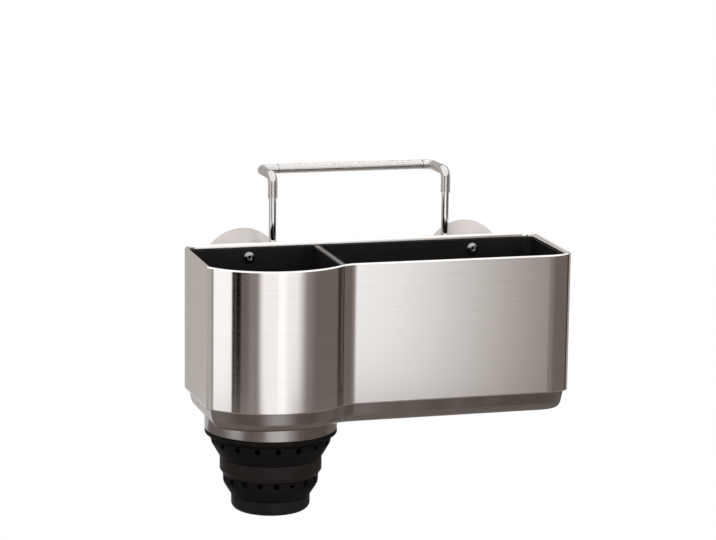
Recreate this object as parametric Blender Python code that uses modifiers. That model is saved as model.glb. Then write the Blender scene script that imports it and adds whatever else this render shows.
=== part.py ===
"""Sink caddy: a steel wrap with a round brush cup and a long sponge tray, a telescoping
brush holder under the cup, and a sliding wire hook with two suction cups on the back.

The caddy is laid out from its own edges: X runs right from the outer left wall, Y is zero
on the outer back wall and falls towards the front, Z is zero at the lower edge of the steel.
An empty then shifts it, so that the origin is where the hook sits on the sink's edge:
on the hook's centre line, in the plane of the suction cups, at the underside of the arms.
"""

import math

import bmesh
import bpy
from mathutils import Matrix, Vector

# Steel wrap
shell_width = 0.231
shell_depth = 0.0742
shell_height = 0.0869
cup_radius = 0.0544
cup_facet_depth = 0.0085
cup_centre_depth = 0.0363
corner_radius = 0.0085
facet_corner_radius = 0.0035
waist_radius = 0.014
least_corner_radius = 0.0024
sheet_thickness = 0.0008
hem_width = 0.0022
hem_drop = 0.0017
lip_width = 0.0020
lip_radius = 0.0011

# Shared clearances
seat_gap = 0.0003
cut_overrun = 0.002
weld_distance = 0.00001

# Inner liners and the plate between them
liner_thickness = 0.0013
liner_step_slope = 0.0006
divider_from_round = 0.0147
divider_thickness = 0.0012
divider_corner_radius = 0.0010
floor_rib_width = 0.0016
floor_rib_height = 0.0014
floor_rib_count = 7
drain_slot_width = 0.0030
drain_slot_count = 6

# Base moulding
base_depth = 0.0132
base_thickness = 0.0018
base_edge_radius = 0.0080
base_draft = math.radians(12)
base_skirt_height = 0.0022
base_pad_radius = 0.0050
base_pad_height = 0.0022

# Collar under the base
collar_from_round = 0.0137
holder_forward = 0.0070
collar_height = 0.0054
collar_thickness = 0.0022
collar_lip_thickness = 0.0020
collar_lip_width = 0.0035
collar_chamfer = 0.0004
throat_step = 0.0015

# Brush holder
flange_thickness = 0.0027
flange_edge_radius = 0.0016
flange_bead_width = 0.0021
flange_bead_height = 0.0020
flange_wall = 0.0015
skirt_step = 0.0035
skirt_height = 0.0034
upper_shoulder_height = 0.0014
upper_cone_height = 0.0094
upper_cone_run = 0.0058
band_height = 0.0078
band_thickness = 0.0028
band_taper_height = 0.0036
band_taper_run = 0.0021
shoulder_height = 0.0042
lower_cone_height = 0.0080
lower_cone_run = 0.0050
pleat_thickness = 0.0013
bottom_cup_height = 0.0089
bottom_cup_wall = 0.0020
bottom_edge_radius = 0.0042
drain_hole_radius = 0.0019
drain_hole_cover = 0.0004
drain_hole_count = 16
drain_hole_turn = math.radians(-97.6)

# Suction cups
cup_from_side = 0.0421
cup_from_top = 0.0171
suction_cup_radius = 0.0258
suction_depth = 0.0083
suction_rim_width = 0.0025
suction_rim_thickness = 0.0006
suction_hollow_depth = 0.0049
suction_neck_radius = 0.0030
suction_button_radius = 0.0045
suction_button_clearance = 0.0011
suction_root_radius = 0.0080

# Rivets
rivet_radius = 0.0016
rivet_head_radius = 0.0037
rivet_head_height = 0.0022
rivet_tail_radius = 0.0028
rivet_tail_height = 0.0012

# Guides on the back wall
guide_plate_thickness = 0.0022
guide_margin = 0.0062
guide_end_margin = 0.0050
guide_corner_radius = 0.0040
channel_wall = 0.0015
channel_front_wall = 0.0007
socket_wall = 0.0018
socket_length = 0.0049
socket_lip_thickness = 0.0018
rivet_from_socket = 0.0036

# Wire hook
wire_radius = 0.0023
leg_from_cup = 0.0166
leg_end_height = 0.0240
arm_above_rim = 0.0427
arm_length = 0.0301
hook_bend_radius = 0.0050
sleeve_wall = 0.0004
sleeve_leg_length = 0.0106
left_seam_from_bend = 0.0065
right_seam_from_bend = 0.0008
leg_cap_wall = 0.0007
leg_cap_length = 0.0080
leg_cap_end = 0.0020

# Screws through the base
screw_radius = 0.0014
screw_head_radius = 0.0030
screw_head_height = 0.0018
screw_pocket_depth = 0.0022
screw_boss_wall = 0.0017
screw_boss_height = 0.0038
screw_boss_cover = 0.0010
screw_from_side = 0.0130
screw_from_back = 0.0122
screw_from_front = 0.0135
screw_from_divider = 0.0165

# Smoothness of the round forms
corner_steps = 4
arc_steps = 11
turn_steps = 24
small_turn_steps = 10
hole_steps = 8
round_steps = 3

# Places in the body that follow from the sizes
cup_centre_x = cup_radius - cup_facet_depth
liner_inset = sheet_thickness + seat_gap
base_inset = lip_width + seat_gap
ledge_bottom = sheet_thickness + seat_gap
ledge_top = ledge_bottom + base_skirt_height
liner_step_inset = base_inset + base_thickness + seat_gap
liner_step_height = ledge_top + seat_gap
liner_top = shell_height - hem_drop - seat_gap
base_floor = -base_depth + base_thickness
pad_top = base_floor + base_pad_height
liner_bottom = pad_top + seat_gap
liner_floor = liner_bottom + liner_thickness
base_round_height = -base_depth + base_edge_radius
base_draft_inset = (ledge_bottom - base_round_height) * math.tan(base_draft)
base_round_inset = base_inset + base_draft_inset + base_edge_radius / math.cos(base_draft)
base_flat_share = math.cos((math.radians(90) - base_draft) / 2 / round_steps)
liner_round_radius = base_edge_radius * base_flat_share - base_thickness - seat_gap
liner_round_angle = math.asin((base_round_height - liner_bottom) / liner_round_radius)
liner_foot_inset = base_round_inset - liner_round_radius * math.cos(liner_round_angle)
liner_chamfer_top = ledge_bottom + seat_gap
divider_centre_x = cup_centre_x + cup_radius - divider_from_round
cup_liner_side = divider_centre_x - divider_thickness / 2 - seat_gap
tray_liner_side = divider_centre_x + divider_thickness / 2 + seat_gap
screw_hole_radius = screw_radius + seat_gap
screw_boss_radius = screw_hole_radius + screw_boss_wall

# Places in the brush holder, from the collar down
holder_depth = cup_centre_depth + holder_forward
collar_radius = cup_radius - collar_from_round
collar_bottom = -base_depth - collar_height
collar_lip_top = collar_bottom + collar_lip_thickness
collar_lip_radius = collar_radius - collar_thickness - collar_lip_width
throat_radius = collar_lip_radius - throat_step
skirt_radius = collar_radius - skirt_step
band_radius = skirt_radius - upper_cone_run
shoulder_radius = band_radius - band_taper_run
bottom_cup_radius = shoulder_radius - lower_cone_run
flange_top = collar_bottom - seat_gap
flange_bottom = flange_top - flange_thickness
skirt_bottom = flange_bottom - skirt_height
upper_pleat_top = skirt_bottom - seat_gap
upper_pleat_bottom = upper_pleat_top - upper_shoulder_height - upper_cone_height
band_top = upper_pleat_bottom - seat_gap
band_bottom = band_top - band_height - band_taper_height
lower_pleat_top = band_bottom - seat_gap
lower_pleat_bottom = lower_pleat_top - shoulder_height - lower_cone_height
bottom_cup_top = lower_pleat_bottom - seat_gap
bottom_cup_bottom = bottom_cup_top - bottom_cup_height
hole_drop = drain_hole_radius + drain_hole_cover

# Places on the back, from the wall outwards
cup_left = cup_from_side
cup_right = shell_width - cup_from_side
cup_height = shell_height - cup_from_top
plate_back = seat_gap + guide_plate_thickness
socket_back = plate_back + socket_length
socket_mouth = socket_back - socket_lip_thickness
socket_bore_radius = suction_button_radius + seat_gap
socket_lip_radius = suction_neck_radius + seat_gap
socket_radius = socket_bore_radius + socket_wall
suction_plane = socket_back + seat_gap + suction_depth
rivet_hole_radius = rivet_radius + seat_gap
rivet_offset = socket_radius + rivet_from_socket
guide_top = cup_height + rivet_offset + guide_end_margin
guide_bottom = cup_height - rivet_offset - guide_end_margin

# Places on the hook
wire_bore_radius = wire_radius + seat_gap
channel_radius = wire_bore_radius + channel_wall
sleeve_radius = wire_bore_radius + sleeve_wall
leg_cap_radius = wire_bore_radius + leg_cap_wall
leg_axis_y = seat_gap + channel_front_wall + wire_bore_radius
hook_left = cup_left + leg_from_cup
hook_right = cup_right - leg_from_cup
hook_centre_x = (hook_left + hook_right) / 2
hook_half_width = (hook_right - hook_left) / 2
arm_height = shell_height + arm_above_rim
sleeve_end_height = arm_height - hook_bend_radius - sleeve_leg_length
hook_seat_height = arm_height - sleeve_radius

# Colours and finishes: colour, metallic, roughness
finishes = {
    "brushed_steel": ((0.62, 0.60, 0.58), 1.0, 0.32),
    "liner_black": ((0.012, 0.011, 0.011), 0.0, 0.35),
    "base_grey": ((0.10, 0.09, 0.085), 0.4, 0.38),
    "silicone_black": ((0.014, 0.014, 0.014), 0.0, 0.62),
    "chrome_wire": ((0.78, 0.78, 0.77), 1.0, 0.08),
    "clear_vinyl": ((0.80, 0.80, 0.79), 0.0, 0.12),
    "guide_grey": ((0.16, 0.16, 0.16), 0.0, 0.45),
    "soft_vinyl": ((0.70, 0.70, 0.70), 0.0, 0.25),
}


def start_scene():
    for thing in list(bpy.data.objects):
        bpy.data.objects.remove(thing, do_unlink=True)
    parts = bpy.data.collections.new("sink_caddy")
    cutters = bpy.data.collections.new("cutters")
    bpy.context.scene.collection.children.link(parts)
    bpy.context.scene.collection.children.link(cutters)
    return parts, cutters


parts, cutters = start_scene()


def add_empty(name, place, parent=None):
    empty = bpy.data.objects.new(name, None)
    empty.location = place
    empty.parent = parent
    parts.objects.link(empty)
    return empty


origin = add_empty("caddy_origin", (-hook_centre_x, -suction_plane, -hook_seat_height))


def material_for(name, finish):
    colour, metallic, roughness = finishes[finish]
    material = bpy.data.materials.new(name)
    material.use_nodes = True
    shader = material.node_tree.nodes["Principled BSDF"]
    shader.inputs["Base Color"].default_value = (*colour, 1.0)
    shader.inputs["Metallic"].default_value = metallic
    shader.inputs["Roughness"].default_value = roughness
    return material


def add_part(name, mesh, finish, place=(0, 0, 0), turn=(0, 0, 0), parent=None):
    """A named piece of the caddy, with a material of its own."""
    piece = bpy.data.objects.new(name, mesh)
    piece.location = place
    piece.rotation_euler = turn
    piece.parent = parent or origin
    mesh.materials.append(material_for(name, finish))
    parts.objects.link(piece)
    return piece


def add_cutter(name, mesh, place=(0, 0, 0), turn=(0, 0, 0), parent=None):
    """A shape that only cuts or joins other pieces."""
    cutter = bpy.data.objects.new(name, mesh)
    cutter.location = place
    cutter.rotation_euler = turn
    cutter.parent = parent or origin
    cutter.hide_render = True
    cutter.display_type = "WIRE"
    cutters.objects.link(cutter)
    return cutter


def combine(piece, tool, operation="DIFFERENCE"):
    boolean = piece.modifiers.new(operation.lower(), "BOOLEAN")
    boolean.operation = operation
    boolean.object = tool
    boolean.solver = "EXACT"


def shade_round(mesh, angle=math.radians(40)):
    mesh.shade_smooth()
    mesh.set_sharp_from_angle(angle=angle)


def finish_mesh(bm, name):
    bmesh.ops.recalc_face_normals(bm, faces=bm.faces)
    mesh = bpy.data.meshes.new(name)
    bm.to_mesh(mesh)
    bm.free()
    shade_round(mesh)
    return mesh


def arc(centre_x, centre_y, radius, start, end, steps):
    """Points on an arc, both ends included; angles in radians."""
    points = []
    for step in range(steps + 1):
        angle = start + (end - start) * step / steps
        points.append((centre_x + radius * math.cos(angle), centre_y + radius * math.sin(angle)))
    return points


def inner_corner(radius, inset):
    return max(radius - inset, least_corner_radius)


def facet_corner(inset):
    """Where the flat left wall turns into the cup's front: centre, radius and end angle."""
    radius = inner_corner(facet_corner_radius, inset)
    x = inset + radius
    reach = cup_radius - inset - radius
    y = -cup_centre_depth - math.sqrt(reach**2 - (x - cup_centre_x) ** 2)
    angle = math.atan2(y + cup_centre_depth, x - cup_centre_x)
    return x, y, radius, angle + math.tau


def back_left_corner(inset):
    radius = inner_corner(corner_radius, inset)
    return arc(inset + radius, -inset - radius, radius, math.radians(90), math.radians(180), corner_steps)


def back_right_corner(inset):
    radius = inner_corner(corner_radius, inset)
    x = shell_width - inset - radius
    return arc(x, -inset - radius, radius, 0, math.radians(90), corner_steps)


def front_right_corner(inset):
    radius = inner_corner(corner_radius, inset)
    x = shell_width - inset - radius
    y = -shell_depth + inset + radius
    return arc(x, y, radius, math.radians(270), math.radians(360), corner_steps)


def shell_plan(inset):
    """The caddy's whole outline, moved inwards: back wall, facet, cup arc, waist and tray."""
    corner_x, corner_y, radius, facet_end = facet_corner(inset)
    waist = waist_radius + inset
    waist_y = -shell_depth + inset - waist
    reach = cup_radius - inset + waist
    waist_x = cup_centre_x + math.sqrt(reach**2 - (waist_y + cup_centre_depth) ** 2)
    turn = math.atan2(waist_y + cup_centre_depth, waist_x - cup_centre_x) + math.tau
    points = back_right_corner(inset) + back_left_corner(inset)
    points += arc(corner_x, corner_y, radius, math.radians(180), facet_end, corner_steps)
    points += arc(cup_centre_x, -cup_centre_depth, cup_radius - inset, facet_end, turn, arc_steps)[1:]
    points += arc(waist_x, waist_y, waist, turn - math.pi, math.radians(90), corner_steps)[1:]
    return points + front_right_corner(inset)


def cup_plan(inset, side=cup_liner_side):
    """The brush compartment's outline, closed off at the divider."""
    corner_x, corner_y, radius, facet_end = facet_corner(inset)
    small = divider_corner_radius
    reach = cup_radius - inset
    end = math.tau - math.acos((side - cup_centre_x) / reach)
    points = arc(side - small, -inset - small, small, 0, math.radians(90), round_steps)
    points += back_left_corner(inset)
    points += arc(corner_x, corner_y, radius, math.radians(180), facet_end, corner_steps)
    points += arc(cup_centre_x, -cup_centre_depth, reach, facet_end, end, arc_steps)[1:]
    return points


def tray_plan(inset, side=tray_liner_side):
    """The sponge compartment's outline: a rounded oblong from the divider to the right wall."""
    small = divider_corner_radius
    front = -shell_depth + inset
    points = back_right_corner(inset)
    points += arc(side + small, -inset - small, small, math.radians(90), math.radians(180), round_steps)
    points += arc(side + small, front + small, small, math.radians(180), math.radians(270), round_steps)
    return points + front_right_corner(inset)


def skin(name, plan, stations, floor=False):
    """An open surface: the plan drawn at each inset and height, joined by extruding its edges."""
    bm = bmesh.new()
    inset, height = stations[0]
    ring = [bm.verts.new((x, y, height)) for x, y in plan(inset)]
    edges = [bm.edges.new((ring[i - 1], ring[i])) for i in range(len(ring))]
    for inset, height in stations[1:]:
        grown = bmesh.ops.extrude_edge_only(bm, edges=edges)["geom"]
        verts = [item for item in grown if isinstance(item, bmesh.types.BMVert)]
        edges = [item for item in grown if isinstance(item, bmesh.types.BMEdge)]
        edges = [edge for edge in edges if edge.is_boundary and edge.verts[0] in verts and edge.verts[1] in verts]
        below = {}
        for vert in verts:
            link = next(e for e in vert.link_edges if e.other_vert(vert) not in verts)
            below[link.other_vert(vert)] = vert
        ring = [below[vert] for vert in ring]
        for vert, (x, y) in zip(ring, plan(inset)):
            vert.co = (x, y, height)
    if floor:
        bm.faces.new(ring)
    return finish_mesh(bm, name)


def thicken(piece, thickness):
    solidify = piece.modifiers.new("thickness", "SOLIDIFY")
    solidify.thickness = thickness
    solidify.offset = -1
    solidify.use_even_offset = True
    solidify.use_rim = True


def rounding(radius, inset, height, start, end, steps=round_steps):
    """Stations round an edge of the skin, as insets and heights."""
    return arc(inset, height, radius, start, end, steps)


def profile_mesh(name, profile, closed):
    bm = bmesh.new()
    verts = [bm.verts.new((radius, 0, height)) for radius, height in profile]
    for first, second in zip(verts, verts[1:]):
        bm.edges.new((first, second))
    if closed:
        bm.edges.new((verts[-1], verts[0]))
    mesh = bpy.data.meshes.new(name)
    bm.to_mesh(mesh)
    bm.free()
    return mesh


def spin(piece, steps=turn_steps):
    """Turns a profile round its own Z axis."""
    screw = piece.modifiers.new("turn", "SCREW")
    screw.steps = steps
    screw.render_steps = steps
    screw.use_merge_vertices = True
    screw.merge_threshold = weld_distance
    screw.use_smooth_shade = True


def flat_mesh(name, outline, thickness):
    """A flat outline with a thickness, centred on its own plane, as a closed mesh."""
    curve = bpy.data.curves.new(name, "CURVE")
    curve.dimensions = "2D"
    curve.fill_mode = "BOTH"
    curve.extrude = thickness / 2
    spline = curve.splines.new("POLY")
    spline.points.add(len(outline) - 1)
    for point, (x, y) in zip(spline.points, outline):
        point.co = (x, y, 0, 1)
    spline.use_cyclic_u = True
    return curve_to_mesh(name, curve)


def curve_to_mesh(name, curve):
    """The curve's own shape as a mesh, with its loose caps welded on."""
    guide = bpy.data.objects.new(name + "_curve", curve)
    cutters.objects.link(guide)
    bpy.context.view_layer.update()
    graph = bpy.context.evaluated_depsgraph_get()
    mesh = bpy.data.meshes.new_from_object(guide.evaluated_get(graph))
    bpy.data.objects.remove(guide, do_unlink=True)
    bm = bmesh.new()
    bm.from_mesh(mesh)
    bmesh.ops.remove_doubles(bm, verts=bm.verts, dist=weld_distance)
    bm.to_mesh(mesh)
    bm.free()
    mesh.name = name
    mesh.materials.clear()
    shade_round(mesh)
    return mesh


def cylinders(name, places, radius, low, high, steps=small_turn_steps):
    """Upright round bars, one at each place, in one mesh."""
    bm = bmesh.new()
    for x, y in places:
        made = bmesh.ops.create_cone(
            bm, cap_ends=True, segments=steps, radius1=radius, radius2=radius, depth=high - low
        )
        bmesh.ops.translate(bm, verts=made["verts"], vec=(x, y, (low + high) / 2))
    return finish_mesh(bm, name)


def round_path(corners, radius, steps=corner_steps):
    """A line through the corners, with each corner rounded to one radius."""
    points = [Vector(corners[0])]
    for before, corner, after in zip(corners, corners[1:], corners[2:]):
        corner = Vector(corner)
        back = (Vector(before) - corner).normalized()
        ahead = (Vector(after) - corner).normalized()
        half = back.angle(ahead) / 2
        centre = corner + (back + ahead).normalized() * radius / math.sin(half)
        start = corner + back * radius / math.tan(half) - centre
        end = corner + ahead * radius / math.tan(half) - centre
        for step in range(steps + 1):
            points.append(centre + start.slerp(end, step / steps).normalized() * radius)
    points.append(Vector(corners[-1]))
    return points


def wire_mesh(name, points, radius, capped=True):
    curve = bpy.data.curves.new(name, "CURVE")
    curve.dimensions = "3D"
    curve.bevel_depth = radius
    curve.bevel_resolution = 3
    curve.use_fill_caps = capped
    spline = curve.splines.new("POLY")
    spline.points.add(len(points) - 1)
    for point, place in zip(spline.points, points):
        point.co = (*place, 1)
    return curve_to_mesh(name, curve)


def stadium(centre_x, centre_y, length, width):
    """The outline of a slot with round ends that runs along Y."""
    reach = (length - width) / 2
    points = arc(centre_x, centre_y + reach, width / 2, 0, math.pi, round_steps)
    return points + arc(centre_x, centre_y - reach, width / 2, math.pi, math.tau, round_steps)


def rounded_box(low_x, low_y, high_x, high_y, radius):
    points = arc(high_x - radius, high_y - radius, radius, 0, math.radians(90), round_steps)
    points += arc(low_x + radius, high_y - radius, radius, math.radians(90), math.pi, round_steps)
    points += arc(low_x + radius, low_y + radius, radius, math.pi, math.radians(270), round_steps)
    return points + arc(high_x - radius, low_y + radius, radius, math.radians(270), math.tau, round_steps)


def rivet_places():
    places = []
    for x in (cup_left, cup_right):
        places.append((x, cup_height + rivet_offset))
        places.append((x, cup_height - rivet_offset))
    return places


def screw_places():
    """Screws that hold the cup liner, then those that hold the tray liner."""
    cup_screws = [
        (screw_from_side, -screw_from_back),
        (cup_liner_side - liner_thickness - screw_boss_radius - seat_gap, -screw_from_back),
    ]
    tray_screws = [
        (tray_liner_side + screw_from_divider, -screw_from_back),
        (tray_liner_side + screw_from_divider, -shell_depth + screw_from_front),
        (shell_width - screw_from_side, -shell_depth / 2),
    ]
    return cup_screws, tray_screws


def rivet_hole_cutter():
    """Round bars along Y, through the walls and both guides."""
    bm = bmesh.new()
    low = -liner_inset - liner_thickness - cut_overrun
    high = plate_back + cut_overrun
    for x, z in rivet_places():
        made = bmesh.ops.create_cone(
            bm,
            cap_ends=True,
            segments=small_turn_steps,
            radius1=rivet_hole_radius,
            radius2=rivet_hole_radius,
            depth=high - low,
        )
        # the bar is made upright, laid along the cutter's own Z, and turned with the cutter
        bmesh.ops.translate(bm, verts=made["verts"], vec=(x, z, -(low + high) / 2))
    return add_cutter("rivet_holes", finish_mesh(bm, "rivet_holes"), turn=(math.radians(90), 0, 0))


rivet_holes = rivet_hole_cutter()
holder_place = (cup_centre_x, -holder_depth, 0)
throat = add_cutter(
    "throat",
    cylinders("throat", [(0, 0)], throat_radius, -base_depth - cut_overrun, liner_floor + cut_overrun, turn_steps),
    holder_place,
)


def build_steel_shell():
    hem_radius = hem_width / 2
    hem_centre = shell_height - hem_radius
    stations = [(lip_width, 0)]
    stations += rounding(lip_radius, lip_radius, lip_radius, math.radians(270), math.radians(180))
    stations += rounding(hem_radius, hem_radius, hem_centre, math.radians(180), 0)
    stations.append((hem_width, shell_height - hem_drop))
    shell = add_part("steel_shell", skin("steel_shell", shell_plan, stations), "brushed_steel")
    thicken(shell, sheet_thickness)
    combine(shell, rivet_holes)


def liner_stations():
    """The wall, its step over the base's skirt, and the lower edge that clears the base's rounding."""
    return [
        (liner_inset, liner_top),
        (liner_inset, liner_step_height + liner_step_slope),
        (liner_step_inset, liner_step_height),
        (liner_step_inset, liner_chamfer_top),
        (liner_foot_inset, liner_bottom),
    ]


def add_screw_bosses(liner, places, name):
    top = liner_bottom + screw_boss_height + liner_thickness
    bosses = cylinders(name + "_bosses", places, screw_boss_radius, liner_bottom + liner_thickness / 2, top)
    holes = cylinders(
        name + "_pilot_holes", places, screw_hole_radius, liner_bottom - cut_overrun, top - screw_boss_cover
    )
    combine(liner, add_cutter(name + "_bosses", bosses), "UNION")
    combine(liner, add_cutter(name + "_pilot_holes", holes))


def build_cup_liner():
    mesh = skin("cup_liner", cup_plan, liner_stations(), floor=True)
    liner = add_part("cup_liner", mesh, "liner_black")
    thicken(liner, liner_thickness)
    combine(liner, throat)
    add_screw_bosses(liner, screw_places()[0], "cup")
    combine(liner, rivet_holes)


def tray_pitch(count):
    """Even places along the sponge tray, clear of the screws near its ends."""
    low = tray_liner_side + screw_from_divider + screw_boss_radius * 2
    high = shell_width - screw_from_side - screw_boss_radius * 2
    return [low + (high - low) * (i + 0.5) / count for i in range(count)]


def build_tray_liner():
    mesh = skin("tray_liner", tray_plan, liner_stations(), floor=True)
    liner = add_part("tray_liner", mesh, "liner_black")
    thicken(liner, liner_thickness)
    add_screw_bosses(liner, screw_places()[1], "tray")
    length = shell_depth - 2 * liner_foot_inset - 2 * screw_boss_radius
    ribs = bmesh.new()
    for x in tray_pitch(floor_rib_count):
        made = bmesh.ops.create_cube(ribs, size=1)
        size = Vector((floor_rib_width, length, floor_rib_height + liner_thickness / 2))
        bmesh.ops.scale(ribs, verts=made["verts"], vec=size)
        centre = Vector((x, -shell_depth / 2, liner_floor + floor_rib_height - size.z / 2))
        bmesh.ops.translate(ribs, verts=made["verts"], vec=centre)
    combine(liner, add_cutter("tray_ribs", finish_mesh(ribs, "tray_ribs")), "UNION")
    combine(liner, drain_slot_cutter("tray_slots", liner_bottom - cut_overrun, liner_floor + cut_overrun))
    combine(liner, rivet_holes)


def drain_slot_cutter(name, low, high):
    """Slots between the ribs, in one mesh."""
    length = (shell_depth - 2 * liner_foot_inset) / 2
    pitch = tray_pitch(floor_rib_count)
    between = [(left + right) / 2 for left, right in zip(pitch, pitch[1:])][:drain_slot_count]
    bm = bmesh.new()
    for x in between:
        slot = flat_mesh(name, stadium(x, -shell_depth / 2, length, drain_slot_width), high - low)
        slot.transform(Matrix.Translation((0, 0, (low + high) / 2)))
        bm.from_mesh(slot)
    return add_cutter(name, finish_mesh(bm, name))


def build_divider():
    """A steel plate between the liners, notched and chamfered below to clear the base."""
    notch = liner_step_height
    notch_outer = liner_step_height + liner_step_slope
    back = -liner_inset
    front = -shell_depth + liner_inset
    outline = [
        (back, liner_top),
        (front, liner_top),
        (front, notch_outer),
        (-shell_depth + liner_step_inset, notch),
        (-shell_depth + liner_step_inset, liner_chamfer_top),
        (-shell_depth + liner_foot_inset, liner_bottom),
        (-liner_foot_inset, liner_bottom),
        (-liner_step_inset, liner_chamfer_top),
        (-liner_step_inset, notch),
        (back, notch_outer),
    ]
    mesh = flat_mesh("divider_plate", outline, divider_thickness)
    turn = (math.radians(90), 0, math.radians(90))
    add_part("divider_plate", mesh, "brushed_steel", (divider_centre_x, 0, 0), turn)


def build_base_tray():
    edge = math.radians(180) + base_draft
    stations = [
        (liner_inset, ledge_top),
        (liner_inset, ledge_bottom),
        (base_inset, ledge_bottom),
    ]
    stations += rounding(base_edge_radius, base_round_inset, base_round_height, edge, math.radians(270))
    mesh = skin("base_tray", shell_plan, stations, floor=True)
    base = add_part("base_tray", mesh, "base_grey")
    thicken(base, base_thickness)
    places = screw_places()[0] + screw_places()[1]
    pads = cylinders("base_pads", places, base_pad_radius, base_floor - base_thickness / 2, pad_top)
    combine(base, add_cutter("base_pads", pads), "UNION")
    combine(base, collar_ring(), "UNION")
    combine(base, throat)
    pockets = cylinders(
        "screw_pockets",
        places,
        screw_head_radius + seat_gap,
        -base_depth - cut_overrun,
        -base_depth + screw_pocket_depth,
    )
    combine(base, add_cutter("screw_pockets", pockets))
    holes = cylinders("screw_holes", places, screw_hole_radius, -base_depth, pad_top + cut_overrun)
    combine(base, add_cutter("screw_holes", holes))
    combine(base, drain_slot_cutter("base_slots", -base_depth - cut_overrun, base_floor + cut_overrun))


def collar_ring():
    """The round collar that the brush holder hangs from, with the lip that its groove grips."""
    inner = collar_radius - collar_thickness
    top = pad_top
    profile = [
        (collar_radius, top),
        (collar_radius, collar_bottom + collar_chamfer),
        (collar_radius - collar_chamfer, collar_bottom),
        (collar_lip_radius, collar_bottom),
        (collar_lip_radius, collar_lip_top),
        (inner, collar_lip_top),
        (inner, top),
    ]
    ring = add_cutter("collar_ring", profile_mesh("collar_ring", profile, closed=True), holder_place)
    spin(ring)
    return ring


def build_holder_flange():
    """The top of the brush holder: a bead and neck in the collar's lip, a flange and a short skirt."""
    neck = collar_lip_radius - seat_gap
    bead_bottom = collar_lip_top + seat_gap
    bead_top = bead_bottom + flange_bead_height
    edge = flange_edge_radius
    profile = [
        (neck + flange_bead_width, bead_top),
        (neck + flange_bead_width, bead_bottom),
        (neck, bead_bottom),
        (neck, flange_top),
        (collar_radius, flange_top),
    ]
    corner = arc(collar_radius - edge, flange_bottom + edge, edge, 0, math.radians(-90), round_steps)
    profile += corner
    profile += [
        (skirt_radius, flange_bottom - edge / 4),
        (skirt_radius, skirt_bottom),
        (skirt_radius - flange_wall, skirt_bottom),
        (skirt_radius - flange_wall, flange_bottom),
        (neck - flange_wall, flange_top),
        (neck - flange_wall, bead_top),
    ]
    flange = add_part(
        "holder_flange", profile_mesh("holder_flange", profile, closed=True), "silicone_black", holder_place
    )
    spin(flange)


def hole_ring_cutter(name, height):
    """Round bars that point out from the holder's axis, one for each drain hole."""
    bm = bmesh.new()
    reach = skirt_radius + cut_overrun
    inner = bottom_cup_radius / 2
    for i in range(drain_hole_count):
        made = bmesh.ops.create_cone(
            bm,
            cap_ends=True,
            segments=hole_steps,
            radius1=drain_hole_radius,
            radius2=drain_hole_radius,
            depth=reach - inner,
        )
        angle = drain_hole_turn + math.tau * i / drain_hole_count
        outward = Vector((math.cos(angle), math.sin(angle), 0))
        rotation = outward.to_track_quat("Z", "Y").to_matrix()
        bmesh.ops.rotate(bm, verts=made["verts"], cent=(0, 0, 0), matrix=rotation)
        bmesh.ops.translate(bm, verts=made["verts"], vec=outward * (reach + inner) / 2 + Vector((0, 0, height)))
    return add_cutter(name, finish_mesh(bm, name), holder_place)


def build_upper_pleat():
    """The thin upper cone, which turns inside out when the holder is pushed up."""
    top = upper_pleat_top
    shoulder = top - upper_shoulder_height
    bottom = upper_pleat_bottom
    profile = [
        (skirt_radius, top),
        (skirt_radius - pleat_thickness / 4, shoulder),
        (band_radius, bottom),
        (band_radius - pleat_thickness, bottom),
        (skirt_radius - pleat_thickness * 5 / 4, shoulder - pleat_thickness / 2),
        (skirt_radius - pleat_thickness, top),
    ]
    pleat = add_part(
        "upper_pleat", profile_mesh("upper_pleat", profile, closed=True), "silicone_black", holder_place
    )
    spin(pleat)
    combine(pleat, hole_ring_cutter("upper_holes", top - hole_drop))


def build_middle_band(parent):
    """The thick band between the two pleats, with its lower edge drawn in."""
    step = pleat_thickness / 2
    corner = band_top - band_height
    inner = band_radius - band_thickness
    profile = [
        (band_radius, band_top),
        (band_radius, corner),
        (band_radius - step, corner - step),
        (shoulder_radius, band_bottom),
        (shoulder_radius - bottom_cup_wall, band_bottom),
        (inner, corner),
        (inner, band_top),
    ]
    mesh = profile_mesh("middle_band", profile, closed=True)
    band = add_part("middle_band", mesh, "silicone_black", parent=parent)
    spin(band)


def build_lower_pleat(parent):
    """A straight shoulder with the lower drain holes, and the lower cone."""
    shoulder = lower_pleat_top - shoulder_height
    profile = [
        (shoulder_radius, lower_pleat_top),
        (shoulder_radius, shoulder),
        (bottom_cup_radius, lower_pleat_bottom),
        (bottom_cup_radius - pleat_thickness, lower_pleat_bottom),
        (shoulder_radius - pleat_thickness, shoulder - pleat_thickness / 2),
        (shoulder_radius - pleat_thickness, lower_pleat_top),
    ]
    mesh = profile_mesh("lower_pleat", profile, closed=True)
    pleat = add_part("lower_pleat", mesh, "silicone_black", parent=parent)
    spin(pleat)
    combine(pleat, hole_ring_cutter("lower_holes", lower_pleat_top - hole_drop))


def build_bottom_cup(parent):
    edge = bottom_edge_radius
    inner = bottom_cup_radius - bottom_cup_wall
    floor = bottom_cup_bottom + bottom_cup_wall
    inner_edge = edge - bottom_cup_wall
    profile = [(0, floor)]
    profile += arc(inner - inner_edge, floor + inner_edge, inner_edge, math.radians(-90), 0, round_steps)
    profile += [(inner, bottom_cup_top), (bottom_cup_radius, bottom_cup_top)]
    profile += arc(
        bottom_cup_radius - edge, bottom_cup_bottom + edge, edge, 0, math.radians(-90), round_steps
    )
    profile.append((0, bottom_cup_bottom))
    mesh = profile_mesh("bottom_cup", profile, closed=False)
    cup = add_part("bottom_cup", mesh, "silicone_black", parent=parent)
    spin(cup)


def add_sleeve(name, line, parent):
    tube = wire_mesh(name, line, sleeve_radius, capped=False)
    sleeve = add_part(name, tube, "clear_vinyl", parent=parent)
    thicken(sleeve, sleeve_radius - wire_bore_radius)


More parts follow.
